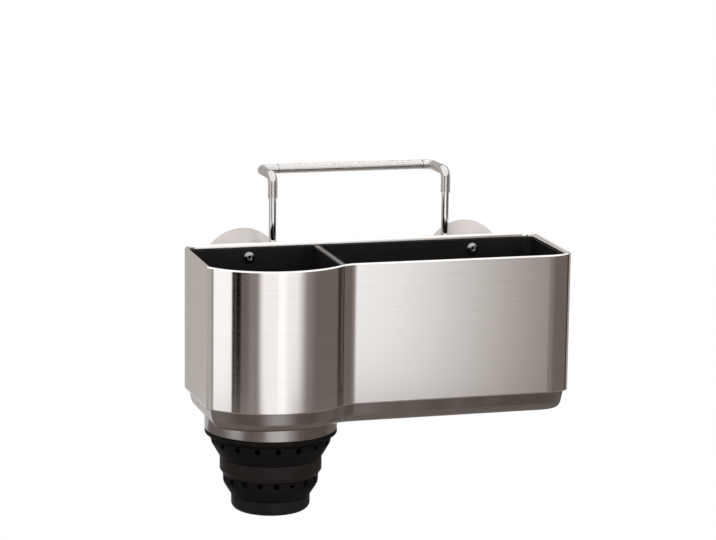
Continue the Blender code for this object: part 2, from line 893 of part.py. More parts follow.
def build_hook():
    """The bent wire with its three clear sleeves and its end caps, on one sliding empty."""
    slide = add_empty("hook_slide", (hook_centre_x, leg_axis_y, 0), origin)
    half = hook_half_width

    def bent_line(end):
        corners = [
            (-half, 0, end),
            (-half, 0, arm_height),
            (-half, arm_length, arm_height),
            (half, arm_length, arm_height),
            (half, 0, arm_height),
            (half, 0, end),
        ]
        return round_path(corners, hook_bend_radius)

    wire = wire_mesh("hook_wire", bent_line(leg_end_height), wire_radius)
    add_part("hook_wire", wire, "chrome_wire", parent=slide)
    left_seam = -half + hook_bend_radius + left_seam_from_bend
    right_seam = half - hook_bend_radius - right_seam_from_bend
    arm_lines = (
        ("left_arm_sleeve", -half, left_seam - seat_gap / 2),
        ("right_arm_sleeve", half, right_seam + seat_gap / 2),
    )
    for name, x, seam in arm_lines:
        corners = [
            (x, 0, sleeve_end_height),
            (x, 0, arm_height),
            (x, arm_length, arm_height),
            (seam, arm_length, arm_height),
        ]
        add_sleeve(name, round_path(corners, hook_bend_radius), slide)
    ends = [left_seam + seat_gap / 2, right_seam - seat_gap / 2]
    add_sleeve("bar_sleeve", [Vector((x, arm_length, arm_height)) for x in ends], slide)
    for name, x in (("left_leg_cap", -half), ("right_leg_cap", half)):
        floor = leg_end_height - seat_gap
        bottom = floor - leg_cap_end
        edge = leg_cap_radius - wire_bore_radius
        profile = [
            (0, floor),
            (wire_bore_radius, floor),
            (wire_bore_radius, floor + leg_cap_length),
            (leg_cap_radius, floor + leg_cap_length),
        ]
        profile += arc(leg_cap_radius - edge, bottom + edge, edge, 0, math.radians(-90), round_steps)
        profile.append((0, bottom))
        mesh = profile_mesh(name, profile, closed=False)
        cap = add_part(name, mesh, "soft_vinyl", (x, 0, 0), parent=slide)
        spin(cap, small_turn_steps)


def build_guide(name, cup_x, leg_x):
    """A moulded guide: a plate on the back wall, a channel for one leg and a socket for one cup."""
    mid_x = (cup_x + leg_x) / 2
    half = abs(leg_x - cup_x) / 2
    low_x = mid_x - half - (guide_margin if cup_x < leg_x else channel_radius)
    high_x = mid_x + half + (channel_radius if cup_x < leg_x else guide_margin)
    outline = rounded_box(low_x, guide_bottom, high_x, guide_top, guide_corner_radius)
    mesh = flat_mesh(name, outline, guide_plate_thickness)
    # the plate is drawn in X and Z: turned a quarter, its own Y becomes the caddy's Z
    place_y = seat_gap + guide_plate_thickness / 2
    guide = add_part(name, mesh, "guide_grey", (0, place_y, 0), (math.radians(90), 0, 0))

    channel = [(leg_x + channel_radius, seat_gap)]
    channel += arc(leg_x, leg_axis_y, channel_radius, 0, math.pi, corner_steps)
    channel.append((leg_x - channel_radius, seat_gap))
    block = flat_mesh(name + "_channel", channel, guide_top - guide_bottom)
    combine(guide, add_cutter(name + "_channel", block, (0, 0, (guide_top + guide_bottom) / 2)), "UNION")

    post = cylinders(name + "_socket", [(0, 0)], socket_radius, -socket_back, -seat_gap - guide_plate_thickness / 2)
    turn = (math.radians(90), 0, 0)
    combine(guide, add_cutter(name + "_socket", post, (cup_x, 0, cup_height), turn), "UNION")

    profile = [
        (0, cut_overrun),
        (socket_bore_radius, cut_overrun),
        (socket_bore_radius, -socket_mouth),
        (socket_lip_radius, -socket_mouth),
        (socket_lip_radius, -socket_back - cut_overrun),
        (0, -socket_back - cut_overrun),
    ]
    bore = add_cutter(name + "_bore", profile_mesh(name + "_bore", profile, closed=False), (cup_x, 0, cup_height), turn)
    spin(bore, small_turn_steps)
    combine(guide, bore)
    leg_bore = cylinders(
        name + "_leg_bore", [(leg_x, leg_axis_y)], wire_bore_radius, guide_bottom - cut_overrun, guide_top + cut_overrun
    )
    combine(guide, add_cutter(name + "_leg_bore", leg_bore))
    combine(guide, rivet_holes)


def build_suction_cup(name, x):
    """A soft cup: a button in the guide's socket, a neck, and a dished disc with a flat rim."""
    button_top = socket_mouth - seat_gap
    neck_end = socket_back + seat_gap
    rim_front = suction_plane - suction_rim_thickness
    bowl = suction_plane - suction_hollow_depth
    shares = ((0.35, 0.27), (0.72, 0.66))
    profile = [
        (0, suction_button_clearance),
        (suction_button_radius, suction_button_clearance),
        (suction_button_radius, button_top),
        (suction_neck_radius, button_top),
        (suction_neck_radius, neck_end),
        (suction_root_radius, neck_end + seat_gap),
    ]
    for along_share, back_share in shares:
        radius = suction_root_radius + (suction_cup_radius - suction_root_radius) * along_share
        profile.append((radius, neck_end + seat_gap + (rim_front - neck_end - seat_gap) * back_share))
    inner = suction_cup_radius - suction_rim_width
    profile += [(suction_cup_radius, rim_front), (suction_cup_radius, suction_plane), (inner, suction_plane)]
    for step in range(1, round_steps + 1):
        share = step / round_steps
        profile.append((inner * (1 - share), bowl + (suction_plane - bowl) * (1 - share) ** 2))
    profile = [(radius, -back) for radius, back in profile]
    mesh = profile_mesh(name, profile, closed=False)
    cup = add_part(name, mesh, "soft_vinyl", (x, 0, cup_height), (math.radians(90), 0, 0))
    spin(cup, turn_steps)


def build_rivets():
    head_seat = liner_inset + liner_thickness + seat_gap
    tail_seat = plate_back + seat_gap
    for number, (x, z) in enumerate(rivet_places(), start=1):
        profile = [(0, head_seat + rivet_head_height)]
        for step in range(1, round_steps + 1):
            angle = math.radians(90) * (1 - step / round_steps)
            radius = rivet_head_radius * math.cos(angle)
            profile.append((radius, head_seat + rivet_head_height * math.sin(angle)))
        profile += [
            (rivet_radius, head_seat),
            (rivet_radius, -tail_seat),
            (rivet_tail_radius, -tail_seat),
            (rivet_tail_radius, -tail_seat - rivet_tail_height),
            (0, -tail_seat - rivet_tail_height),
        ]
        name = f"guide_rivet_{number}"
        mesh = profile_mesh(name, profile, closed=False)
        rivet = add_part(name, mesh, "chrome_wire", (x, 0, z), (math.radians(90), 0, 0))
        spin(rivet, small_turn_steps)


def build_screws():
    tip = liner_bottom + screw_boss_height + liner_thickness - screw_boss_cover - seat_gap
    head_top = -base_depth + screw_pocket_depth - seat_gap
    head_bottom = head_top - screw_head_height
    for number, (x, y) in enumerate(screw_places()[0] + screw_places()[1], start=1):
        profile = [
            (0, tip),
            (screw_radius / 2, tip),
            (screw_radius, tip - screw_radius),
            (screw_radius, head_top),
            (screw_head_radius, head_top),
            (screw_head_radius, head_bottom + screw_head_height / 2),
            (screw_head_radius * 2 / 3, head_bottom),
            (0, head_bottom),
        ]
        name = f"base_screw_{number}"
        mesh = profile_mesh(name, profile, closed=False)
        screw = add_part(name, mesh, "chrome_wire", (x, y, 0))
        spin(screw, small_turn_steps)


def build_caddy():
    build_steel_shell()
    build_cup_liner()
    build_tray_liner()
    build_divider()
    build_base_tray()
    build_holder_flange()
    build_upper_pleat()
    band_slide = add_empty("band_slide", holder_place, origin)
    cup_slide = add_empty("bottom_cup_slide", (0, 0, 0), band_slide)
    build_middle_band(band_slide)
    build_lower_pleat(band_slide)
    build_bottom_cup(cup_slide)
    build_hook()
    build_guide("left_guide", cup_left, hook_left)
    build_guide("right_guide", cup_right, hook_right)
    build_suction_cup("left_suction_cup", cup_left)
    build_suction_cup("right_suction_cup", cup_right)
    build_rivets()
    build_screws()
    bpy.context.view_layer.update()


build_caddy()
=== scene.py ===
"""Looks of the sink caddy: fine surfaces and materials for every piece, the studio and the camera.

Pieces are drawn from the caddy's own edges, as its solids are: X runs right from the outer
left wall, Y is zero on the outer back wall and falls towards the front, Z is zero at the
lower edge of the steel. `caddy` is where that corner lies in the frame.
"""

import math

import bmesh
import bpy
from mathutils import Matrix, Vector


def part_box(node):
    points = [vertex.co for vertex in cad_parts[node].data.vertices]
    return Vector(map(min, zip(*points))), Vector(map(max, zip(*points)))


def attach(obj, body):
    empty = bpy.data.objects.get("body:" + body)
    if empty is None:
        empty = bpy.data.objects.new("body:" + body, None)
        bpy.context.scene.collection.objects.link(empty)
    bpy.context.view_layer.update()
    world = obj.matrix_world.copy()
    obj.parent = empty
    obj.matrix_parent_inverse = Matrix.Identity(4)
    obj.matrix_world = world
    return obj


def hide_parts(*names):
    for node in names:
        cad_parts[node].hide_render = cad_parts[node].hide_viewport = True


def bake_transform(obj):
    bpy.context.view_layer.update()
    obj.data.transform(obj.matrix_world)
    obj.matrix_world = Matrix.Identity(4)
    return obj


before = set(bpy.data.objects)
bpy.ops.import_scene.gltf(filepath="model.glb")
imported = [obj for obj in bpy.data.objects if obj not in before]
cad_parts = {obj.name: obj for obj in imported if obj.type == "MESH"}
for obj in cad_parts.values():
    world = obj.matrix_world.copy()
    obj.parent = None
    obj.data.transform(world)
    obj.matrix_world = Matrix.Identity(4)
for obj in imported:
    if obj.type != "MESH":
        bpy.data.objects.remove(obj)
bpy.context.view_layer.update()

scene = bpy.context.scene

# Steel wrap
shell_width = 0.231
shell_depth = 0.0742
shell_height = 0.0869
cup_radius = 0.0544
cup_facet_depth = 0.0085
cup_centre_depth = 0.0363
corner_radius = 0.0085
facet_corner_radius = 0.0035
waist_radius = 0.016
least_corner_radius = 0.0024
sheet_thickness = 0.0008
hem_width = 0.0025
hem_drop = 0.0025
lip_width = 0.0020
lip_radius = 0.0009
front_corner_length = 0.017
front_corner_depth = 0.008
rim_rise = 0.0020
rim_rise_height = 0.0040

# Shared clearances
seat_gap = 0.0003
cut_overrun = 0.002
weld_distance = 0.00001
sharp_angle = math.radians(38)
ease_limit = 0.45

# Inner liners and the plate between them
liner_thickness = 0.0013
liner_step_slope = 0.0006
liner_fillet = 0.0022
divider_from_round = 0.0147
divider_thickness = 0.0012
divider_edge_radius = 0.0004
divider_corner_radius = 0.0010
floor_rib_width = 0.0016
floor_rib_height = 0.0014
floor_rib_edge = 0.00056
floor_rib_count = 7
drain_slot_width = 0.0030

# Base moulding
base_depth = 0.0132
base_thickness = 0.0018
base_edge_radius = 0.0080
base_draft = math.radians(12)
base_skirt_height = 0.0022
base_pad_radius = 0.0050
base_pad_height = 0.0022

# Collar under the base
collar_from_round = 0.0137
holder_forward = 0.0070
collar_height = 0.0054
collar_thickness = 0.0022
collar_lip_thickness = 0.0020
collar_lip_width = 0.0035
collar_chamfer = 0.0007
throat_step = 0.0015

# Telescoping holder under the cup
flange_thickness = 0.0027
flange_edge_radius = 0.0013
flange_bead_width = 0.0021
flange_bead_height = 0.0020
flange_wall = 0.0015
skirt_step = 0.0035
skirt_height = 0.0016
upper_shoulder_height = 0.0032
upper_cone_height = 0.0094
upper_cone_run = 0.0058
band_height = 0.0078
band_thickness = 0.0028
band_taper_height = 0.0036
band_taper_run = 0.0021
shoulder_height = 0.0042
lower_cone_height = 0.0080
lower_cone_run = 0.0050
pleat_thickness = 0.0013
fold_row = 0.0006
fold_ease = 0.0022
bottom_cup_height = 0.0089
bottom_cup_wall = 0.0020
bottom_edge_radius = 0.0042
holder_edge = 0.0005
drain_hole_radius = 0.0019
drain_hole_cover = 0.0004
drain_hole_count = 18
lower_hole_rise = 0.0012
drain_hole_turn = math.radians(-97.6)

# Suction cups
cup_from_side = 0.0421
cup_from_top = 0.0171
suction_cup_radius = 0.0258
suction_depth = 0.0083
suction_rim_width = 0.0025
suction_rim_thickness = 0.0006
suction_hollow_depth = 0.0049
suction_neck_radius = 0.0030
suction_button_radius = 0.0045
suction_button_clearance = 0.0011
suction_root_radius = 0.0080
suction_back_curve = 1.22

# Rivets
rivet_radius = 0.0016
rivet_head_radius = 0.0037
rivet_head_height = 0.0022
rivet_dimple_radius = 0.00088
rivet_dimple_floor = 0.00099
rivet_dimple_rim = 0.0011
rivet_tail_radius = 0.0028
rivet_tail_height = 0.0012

# Guides on the back wall
guide_plate_thickness = 0.0022
guide_margin = 0.0062
guide_end_margin = 0.0050
guide_corner_radius = 0.0040
guide_edge = 0.0006
channel_wall = 0.0015
channel_front_wall = 0.0007
socket_wall = 0.0018
socket_length = 0.0049
socket_lip_thickness = 0.0018
rivet_from_socket = 0.0036

# Wire hook
wire_radius = 0.0023
leg_from_cup = 0.0166
leg_end_height = 0.0240
arm_above_rim = 0.0427
arm_length = 0.0301
hook_bend_radius = 0.0050
sleeve_wall = 0.0004
sleeve_grip = 0.00008
sleeve_leg_length = 0.0088
left_seam_from_bend = 0.0065
right_seam_from_bend = 0.0008
leg_cap_wall = 0.0007
leg_cap_length = 0.0080
leg_cap_end = 0.0020

# Screws through the base
screw_radius = 0.0014
screw_head_radius = 0.0030
screw_head_height = 0.0018
screw_pocket_depth = 0.0022
screw_boss_wall = 0.0017
screw_boss_height = 0.0038
screw_boss_cover = 0.0010
screw_from_side = 0.0130
screw_from_back = 0.0122
screw_from_front = 0.0135
screw_from_divider = 0.0165
recess_width = 0.0007
recess_length = 0.0034
recess_depth = 0.0009

# Smoothness
corner_steps = 14
arc_steps = 120
waist_steps = 28
turn_steps = 144
small_turn_steps = 48
hole_steps = 24
round_steps = 8
edge_steps = 4
ease_steps = 6
suction_steps = 16
bend_steps = 16
tube_sides = 32
tent_columns = 1440
floor_steps = 128

# Light tent: a tube of panels round the object, with heights from the steel's lower edge
tent_radius = 0.7
tent_low = -0.59
low_panels_top = -0.25
collar_panels_bottom = -0.22
collar_panels_top = -0.18
panels_bottom = -0.165
panels_top = 0.36
overhead_bottom = 0.42
tent_high = 1.1
under_level = 0.28
overhead_level = 1.35
tent_open_level = 0.95
warm_green_power = 0.10
warm_blue_power = 0.17

# Floor, soft light and lamps
floor_height = -0.60
floor_radius = 1.05
soft_light_share = 0.72
lamp_size = 0.9

# The photograph's camera, solved from the caddy's straight edges, in the caddy's coordinates
image_width = 716
focal_pixels = 2529.4
sensor_width = 36.0
camera_place = (-0.344675, -1.502282, 0.361879)
camera_heading = math.radians(-16.972)
camera_tilt = math.radians(90 - 10.581)
camera_roll = math.radians(0.732)

# Places that follow from the sizes
cup_centre_x = cup_radius - cup_facet_depth
liner_inset = sheet_thickness + seat_gap
base_inset = lip_width + seat_gap
ledge_bottom = sheet_thickness + seat_gap
ledge_top = ledge_bottom + base_skirt_height
liner_step_inset = base_inset + base_thickness + seat_gap
liner_step_height = ledge_top + seat_gap
liner_top = shell_height - hem_drop - seat_gap
base_floor = -base_depth + base_thickness
pad_top = base_floor + base_pad_height
liner_bottom = pad_top + seat_gap
liner_floor = liner_bottom + liner_thickness
base_round_height = -base_depth + base_edge_radius
base_draft_inset = (ledge_bottom - base_round_height) * math.tan(base_draft)
base_round_inset = base_inset + base_draft_inset + base_edge_radius / math.cos(base_draft)
liner_round_radius = base_edge_radius - base_thickness - seat_gap * 2
liner_round_angle = math.asin((base_round_height - liner_bottom) / liner_round_radius)
liner_foot_inset = base_round_inset - liner_round_radius * math.cos(liner_round_angle)
liner_chamfer_top = ledge_bottom + seat_gap
divider_centre_x = cup_centre_x + cup_radius - divider_from_round
cup_liner_side = divider_centre_x - divider_thickness / 2 - seat_gap
tray_liner_side = divider_centre_x + divider_thickness / 2 + seat_gap
screw_hole_radius = screw_radius + seat_gap
screw_boss_radius = screw_hole_radius + screw_boss_wall
holder_depth = cup_centre_depth + holder_forward
holder_place = (cup_centre_x, -holder_depth, 0.0)
collar_radius = cup_radius - collar_from_round
collar_bottom = -base_depth - collar_height
collar_lip_top = collar_bottom + collar_lip_thickness
collar_lip_radius = collar_radius - collar_thickness - collar_lip_width
throat_radius = collar_lip_radius - throat_step
skirt_radius = collar_radius - skirt_step
band_radius = skirt_radius - upper_cone_run
shoulder_radius = band_radius - band_taper_run
bottom_cup_radius = shoulder_radius - lower_cone_run
flange_top = collar_bottom - seat_gap
flange_bottom = flange_top - flange_thickness
skirt_bottom = flange_bottom - skirt_height
upper_pleat_top = skirt_bottom - seat_gap
upper_cone_top = upper_pleat_top - upper_shoulder_height
upper_pleat_bottom = upper_cone_top - upper_cone_height
band_top = upper_pleat_bottom - seat_gap
band_corner = band_top - band_height
band_bottom = band_corner - band_taper_height
lower_pleat_top = band_bottom - seat_gap
lower_cone_top = lower_pleat_top - shoulder_height
lower_pleat_bottom = lower_cone_top - lower_cone_height
bottom_cup_top = lower_pleat_bottom - seat_gap
bottom_cup_bottom = bottom_cup_top - bottom_cup_height
hole_drop = drain_hole_radius + drain_hole_cover
cup_left = cup_from_side
cup_right = shell_width - cup_from_side
cup_height = shell_height - cup_from_top
plate_back = seat_gap + guide_plate_thickness
socket_back = plate_back + socket_length
socket_mouth = socket_back - socket_lip_thickness
socket_bore_radius = suction_button_radius + seat_gap
socket_lip_radius = suction_neck_radius + seat_gap
socket_radius = socket_bore_radius + socket_wall
suction_plane = socket_back + seat_gap + suction_depth
rivet_hole_radius = rivet_radius + seat_gap
rivet_offset = socket_radius + rivet_from_socket
guide_top = cup_height + rivet_offset + guide_end_margin
guide_bottom = cup_height - rivet_offset - guide_end_margin
wire_bore_radius = wire_radius + seat_gap
channel_radius = wire_bore_radius + channel_wall
sleeve_radius = wire_bore_radius + sleeve_wall
leg_cap_radius = wire_bore_radius + leg_cap_wall
leg_axis_y = seat_gap + channel_front_wall + wire_bore_radius
hook_left = cup_left + leg_from_cup
hook_right = cup_right - leg_from_cup
arm_height = shell_height + arm_above_rim
arm_y = leg_axis_y + arm_length
sleeve_end_height = arm_height - hook_bend_radius - sleeve_leg_length
left_seam = hook_left + hook_bend_radius + left_seam_from_bend
right_seam = hook_right - hook_bend_radius - right_seam_from_bend

# Rivets in X and Z, and screws under the cup and under the tray in X and Y
rivet_places = [(x, cup_height + side * rivet_offset) for x in (cup_left, cup_right) for side in (1, -1)]
cup_screws = [
    (screw_from_side, -screw_from_back),
    (cup_liner_side - liner_thickness - screw_boss_radius - seat_gap, -screw_from_back),
]
tray_screws = [
    (tray_liner_side + screw_from_divider, -screw_from_back),
    (tray_liner_side + screw_from_divider, -shell_depth + screw_from_front),
    (shell_width - screw_from_side, -shell_depth / 2),
]

# Where the caddy's own corner lies in the frame
shell_low, shell_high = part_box("steel_shell")
caddy = Vector((shell_low[0], shell_high[1], shell_low[2]))
tent_centre = caddy + Vector((0.060, -0.060, 0.0))


# Shapes

def add_object(name, data):
    thing = bpy.data.objects.new(name, data)
    scene.collection.objects.link(thing)
    return thing


def to_mesh(bm, name):
    mesh = bpy.data.meshes.new(name)
    bm.to_mesh(mesh)
    bm.free()
    return mesh


def smoothed(mesh):
    mesh.shade_smooth()
    mesh.set_sharp_from_angle(angle=sharp_angle)
    return mesh


def finish_mesh(bm, name):
    bmesh.ops.remove_doubles(bm, verts=bm.verts, dist=weld_distance)
    bmesh.ops.recalc_face_normals(bm, faces=bm.faces)
    return smoothed(to_mesh(bm, name))


def add_skin(bm, rows, joined=False):
    """Faces between rows with as many points each; joined also joins the last row to the first."""
    for low, high in zip(rows, rows[1:] + rows[:1] if joined else rows[1:]):
        for i in range(len(low)):
            corners = list(dict.fromkeys((low[i - 1], low[i], high[i], high[i - 1])))
            if len(corners) > 2:
                bm.faces.new(corners)


def loft(name, rings, joined=False):
    """A closed skin over rings: the last is joined to the first, or else both get a cap."""
    bm = bmesh.new()
    rows = [[bm.verts.new(point) for point in ring] for ring in rings]
    add_skin(bm, rows, joined)
    if not joined:
        bm.faces.new(rows[0])
        bm.faces.new(rows[-1])
    return finish_mesh(bm, name)


def arc(centre_x, centre_y, radius, start, end, steps=round_steps, rise=None):
    """Points round a centre; with a rise besides the radius they lie on an oval."""
    rise = radius if rise is None else rise
    points = []
    for step in range(steps + 1):
        angle = start + (end - start) * step / steps
        points.append((centre_x + radius * math.cos(angle), centre_y + rise * math.sin(angle)))
    return points


def degrees_arc(centre_x, centre_y, radius, start, end, steps=round_steps, rise=None):
    return arc(centre_x, centre_y, radius, math.radians(start), math.radians(end), steps, rise)


def edge_arc(x, y, radius, start, end, steps=round_steps):
    """A quarter circle that rounds the square corner at x and y."""
    angles = (math.radians(start), math.radians(end))
    centre_x = x - radius * round(sum(math.cos(angle) for angle in angles))
    centre_y = y - radius * round(sum(math.sin(angle) for angle in angles))
    return arc(centre_x, centre_y, radius, *angles, steps)


def inner_corner(radius, inset):
    return max(radius - inset, least_corner_radius)


def back_left_corner(inset):
    return edge_arc(inset, -inset, inner_corner(corner_radius, inset), 90, 180, corner_steps)


def back_right_corner(inset):
    return edge_arc(shell_width - inset, -inset, inner_corner(corner_radius, inset), 0, 90, corner_steps)


def front_right_corner(inset):
    """A quarter oval, which eases in along the front and turns tighter into the side."""
    length = inner_corner(front_corner_length, inset)
    depth = inner_corner(front_corner_depth, inset)
    centre = (shell_width - inset - length, -shell_depth + inset + depth)
    return degrees_arc(*centre, length, 270, 360, corner_steps, depth)


def cup_front(inset, end):
    """Round the flat left wall's front corner, and along the cup's arc to an end angle."""
    radius = inner_corner(facet_corner_radius, inset)
    x = inset + radius
    reach = cup_radius - inset - radius
    y = -cup_centre_depth - math.sqrt(reach**2 - (x - cup_centre_x) ** 2)
    turn = math.atan2(y + cup_centre_depth, x - cup_centre_x) + math.tau
    points = arc(x, y, radius, math.pi, turn, corner_steps)
    return points + arc(cup_centre_x, -cup_centre_depth, cup_radius - inset, turn, end, arc_steps)[1:]


def shell_plan(inset):
    """The caddy's outline, moved inwards: back wall, facet, cup arc, waist and tray."""
    waist = waist_radius + inset
    waist_y = -shell_depth + inset - waist
    reach = cup_radius - inset + waist
    waist_x = cup_centre_x + math.sqrt(reach**2 - (waist_y + cup_centre_depth) ** 2)
    turn = math.atan2(waist_y + cup_centre_depth, waist_x - cup_centre_x) + math.tau
    points = back_right_corner(inset) + back_left_corner(inset) + cup_front(inset, turn)
    points += arc(waist_x, waist_y, waist, turn - math.pi, math.pi / 2, waist_steps)[1:]
    return points + front_right_corner(inset)


def cup_plan(inset, side_inset):
    """The round compartment's outline, closed off at the divider."""
    side = cup_liner_side - side_inset
    end = math.tau - math.acos((side - cup_centre_x) / (cup_radius - inset))
    points = edge_arc(side, -inset, divider_corner_radius, 0, 90)
    return points + back_left_corner(inset) + cup_front(inset, end)


def tray_plan(inset, side_inset):
    """The long compartment's outline: a rounded oblong from the divider to the right wall."""
    side = tray_liner_side + side_inset
    points = back_right_corner(inset)
    points += edge_arc(side, -inset, divider_corner_radius, 90, 180)
    points += edge_arc(side, -shell_depth + inset, divider_corner_radius, 180, 270)
    return points + front_right_corner(inset)


def drawn(name, plan, stations, upright=False, joined=False):
    """A plan drawn at each station, its insets and then its height; upright sets it along Y."""
    rings = []
    for *insets, height in stations:
        rings.append([(x, height, y) if upright else (x, y, height) for x, y in plan(*insets)])
    return loft(name, rings, joined)


def turned(name, profile, place, steps=turn_steps, joined=False, lying=False):
    """A profile of radii and heights turned round Z, or round Y for a lying one."""
    bm = bmesh.new()
    rows = []
    for radius, height in profile:
        row = []
        for i in range(steps if radius > weld_distance else 1):
            across = radius * math.cos(math.tau * i / steps)
            up = radius * math.sin(math.tau * i / steps)
            point = (across, height, up) if lying else (across, up, height)
            row.append(bm.verts.new([a + b for a, b in zip(place, point)]))
        rows.append(row * (steps // len(row)))
    add_skin(bm, rows, joined)
    return finish_mesh(bm, name)


def oblongs(places, length, width, stations):
    """Bars with round ends in one mesh, lying across the tray's middle."""
    bm = bmesh.new()
    reach = (length - width) / 2
    for x in places:

        def plan(inset):
            radius = width / 2 - inset
            points = degrees_arc(x, -shell_depth / 2 + reach, radius, 0, 180)
            return points + degrees_arc(x, -shell_depth / 2 - reach, radius, 180, 360)

        bm.from_mesh(drawn("oblong", plan, stations))
    return finish_mesh(bm, "oblongs")


def add_bar(bm, radius, length, middle, rotation, steps=hole_steps):
    bar = bmesh.ops.create_cone(
        bm, cap_ends=True, segments=steps, radius1=radius, radius2=radius, depth=length
    )
    bmesh.ops.rotate(bm, verts=bar["verts"], cent=(0, 0, 0), matrix=rotation)
    bmesh.ops.translate(bm, verts=bar["verts"], vec=middle)


def bars(name, places, radius, low, high, steps=hole_steps, lying=False):
    """Round bars in one mesh, upright or lying along Y."""
    bm = bmesh.new()
    rotation = Matrix.Rotation(math.radians(90) if lying else 0.0, 3, "X")
    height = (low + high) / 2
    for x, other in places:
        middle = (x, height, other) if lying else (x, other, height)
        add_bar(bm, radius, high - low, middle, rotation, steps)
    return finish_mesh(bm, name)


def hole_ring(height):
    """Round bars that point out from the holder's axis, one for each drain hole."""
    bm = bmesh.new()
    reach = skirt_radius + cut_overrun
    inner = bottom_cup_radius / 2
    for i in range(drain_hole_count):
        angle = drain_hole_turn + math.tau * i / drain_hole_count
        outward = Vector((math.cos(angle), math.sin(angle), 0))
        middle = outward * (reach + inner) / 2 + Vector(holder_place) + Vector((0, 0, height))
        rotation = outward.to_track_quat("Z", "Y").to_matrix()
        add_bar(bm, drain_hole_radius, reach - inner, middle, rotation)
    return finish_mesh(bm, "hole_ring")


cut = "DIFFERENCE"
union = "UNION"


def worked(mesh, *steps):
    """The mesh after a row of Boolean steps, each an operation and a tool mesh."""
    body = add_object(mesh.name, mesh)
    tools = []
    for operation, tool_mesh in steps:
        tools.append(add_object(mesh.name + "_tool", tool_mesh))
        boolean = body.modifiers.new(operation, "BOOLEAN")
        boolean.operation = operation
        boolean.solver = "EXACT"
        boolean.object = tools[-1]
    bpy.context.view_layer.update()
    graph = bpy.context.evaluated_depsgraph_get()
    result = bpy.data.meshes.new_from_object(body.evaluated_get(graph))
    for thing in [body] + tools:
        bpy.data.objects.remove(thing, do_unlink=True)
    return smoothed(result)


def round_path(corners):
    """The hook's line through its corners, each rounded to one radius."""
    radius = hook_bend_radius
    points = [Vector(corners[0])]
    for before, corner, after in zip(corners, corners[1:], corners[2:]):
        corner = Vector(corner)
        back = (Vector(before) - corner).normalized()
        ahead = (Vector(after) - corner).normalized()
        half = back.angle(ahead) / 2
        centre = corner + (back + ahead).normalized() * radius / math.sin(half)
        start = corner + back * radius / math.tan(half) - centre
        end = corner + ahead * radius / math.tan(half) - centre
        for step in range(bend_steps + 1):
            points.append(centre + start.slerp(end, step / bend_steps).normalized() * radius)
    points.append(Vector(corners[-1]))
    return points


def swept_rings(path, radii):
    """Circles along a path, turned as little as the path lets them."""
    rings = []
    along = (path[1] - path[0]).normalized()
    side = along.orthogonal().normalized()
    for i, (point, radius) in enumerate(zip(path, radii)):
        before = path[max(i - 1, 0)]
        after = path[min(i + 1, len(path) - 1)]
        if (after - before).length > weld_distance:
            along = (after - before).normalized()
            side = (side - along * side.dot(along)).normalized()
        up = along.cross(side)
        ring = []
        for k in range(tube_sides):
            angle = math.tau * k / tube_sides
            ring.append(point + (side * math.cos(angle) + up * math.sin(angle)) * radius)
        rings.append(ring)
    return rings


def tube(name, path, radius, edge, bore=None):
    """A solid wire or, with a bore, an open tube, its outer end edges eased."""
    start = (path[1] - path[0]).normalized() * edge
    end = (path[-2] - path[-1]).normalized() * edge
    line = [path[0], path[0] + start] + path[1:-1] + [path[-1] + end, path[-1]]
    rings = swept_rings(line, [radius - edge] + [radius] * (len(line) - 2) + [radius - edge])
    if bore is None:
        return loft(name, rings)
    return loft(name, rings + swept_rings(path, [bore] * len(path))[::-1], joined=True)


def eased(points, radius):
    """A profile with its inner corners rounded."""
    eased_points = [points[0]]
    for before, corner, after in zip(points, points[1:], points[2:]):
        corner = Vector(corner)
        back = Vector(before) - corner
        ahead = Vector(after) - corner
        reach = min(radius, back.length * ease_limit, ahead.length * ease_limit)
        start = corner + back.normalized() * reach
        end = corner + ahead.normalized() * reach
        for step in range(ease_steps + 1):
            share = step / ease_steps
            point = start.lerp(corner, share).lerp(corner.lerp(end, share), share)
            eased_points.append(tuple(point))
    eased_points.append(points[-1])
    return eased_points


def with_rows(points):
    """The same profile with its long lines cut into rows, so that a fold can shorten smoothly."""
    rows = [points[0]]
    for first, second in zip(points, points[1:]):
        count = max(1, math.ceil(math.dist(first, second) / fold_row))
        for step in range(1, count + 1):
            rows.append(tuple(a + (b - a) * step / count for a, b in zip(first, second)))
    return rows


def smooth_step(value, low, high):
    share = min(max((value - low) / (high - low), 0.0), 1.0)
    return share * share * (3 - 2 * share)


# Materials

def new_material(name):
    material = bpy.data.materials.new(name)
    material.use_nodes = True
    return material, material.node_tree, material.node_tree.nodes["Principled BSDF"]


def connect(tree, node, inputs):
    """Gives a node its inputs, each a value or another node's output."""
    for name, value in inputs.items():
        if isinstance(value, bpy.types.NodeSocket):
            tree.links.new(value, node.inputs[name])
        else:
            node.inputs[name].default_value = value
    return node


def add_node(tree, kind, inputs):
    return connect(tree, tree.nodes.new(kind), inputs)


def maths(tree, operation, *values):
    node = tree.nodes.new("ShaderNodeMath")
    node.operation = operation
    return connect(tree, node, dict(enumerate(values))).outputs["Value"]


def grain(tree, scale, detail=3.0):
    """Noise in the object's own space, stretched by a scale for each axis."""
    place = tree.nodes.new("ShaderNodeTexCoord").outputs["Object"]
    mapping = add_node(tree, "ShaderNodeMapping", {"Vector": place, "Scale": scale})
    inputs = {"Vector": mapping.outputs["Vector"], "Scale": 1.0, "Detail": detail, "Roughness": 0.55}
    return add_node(tree, "ShaderNodeTexNoise", inputs).outputs["Fac"]


def spread(tree, value, low, high):
    """Carries the middle of a noise to the range from low to high."""
    inputs = {"Value": value, "From Min": 0.3, "From Max": 0.7, "To Min": low, "To Max": high}
    return add_node(tree, "ShaderNodeMapRange", inputs).outputs["Result"]


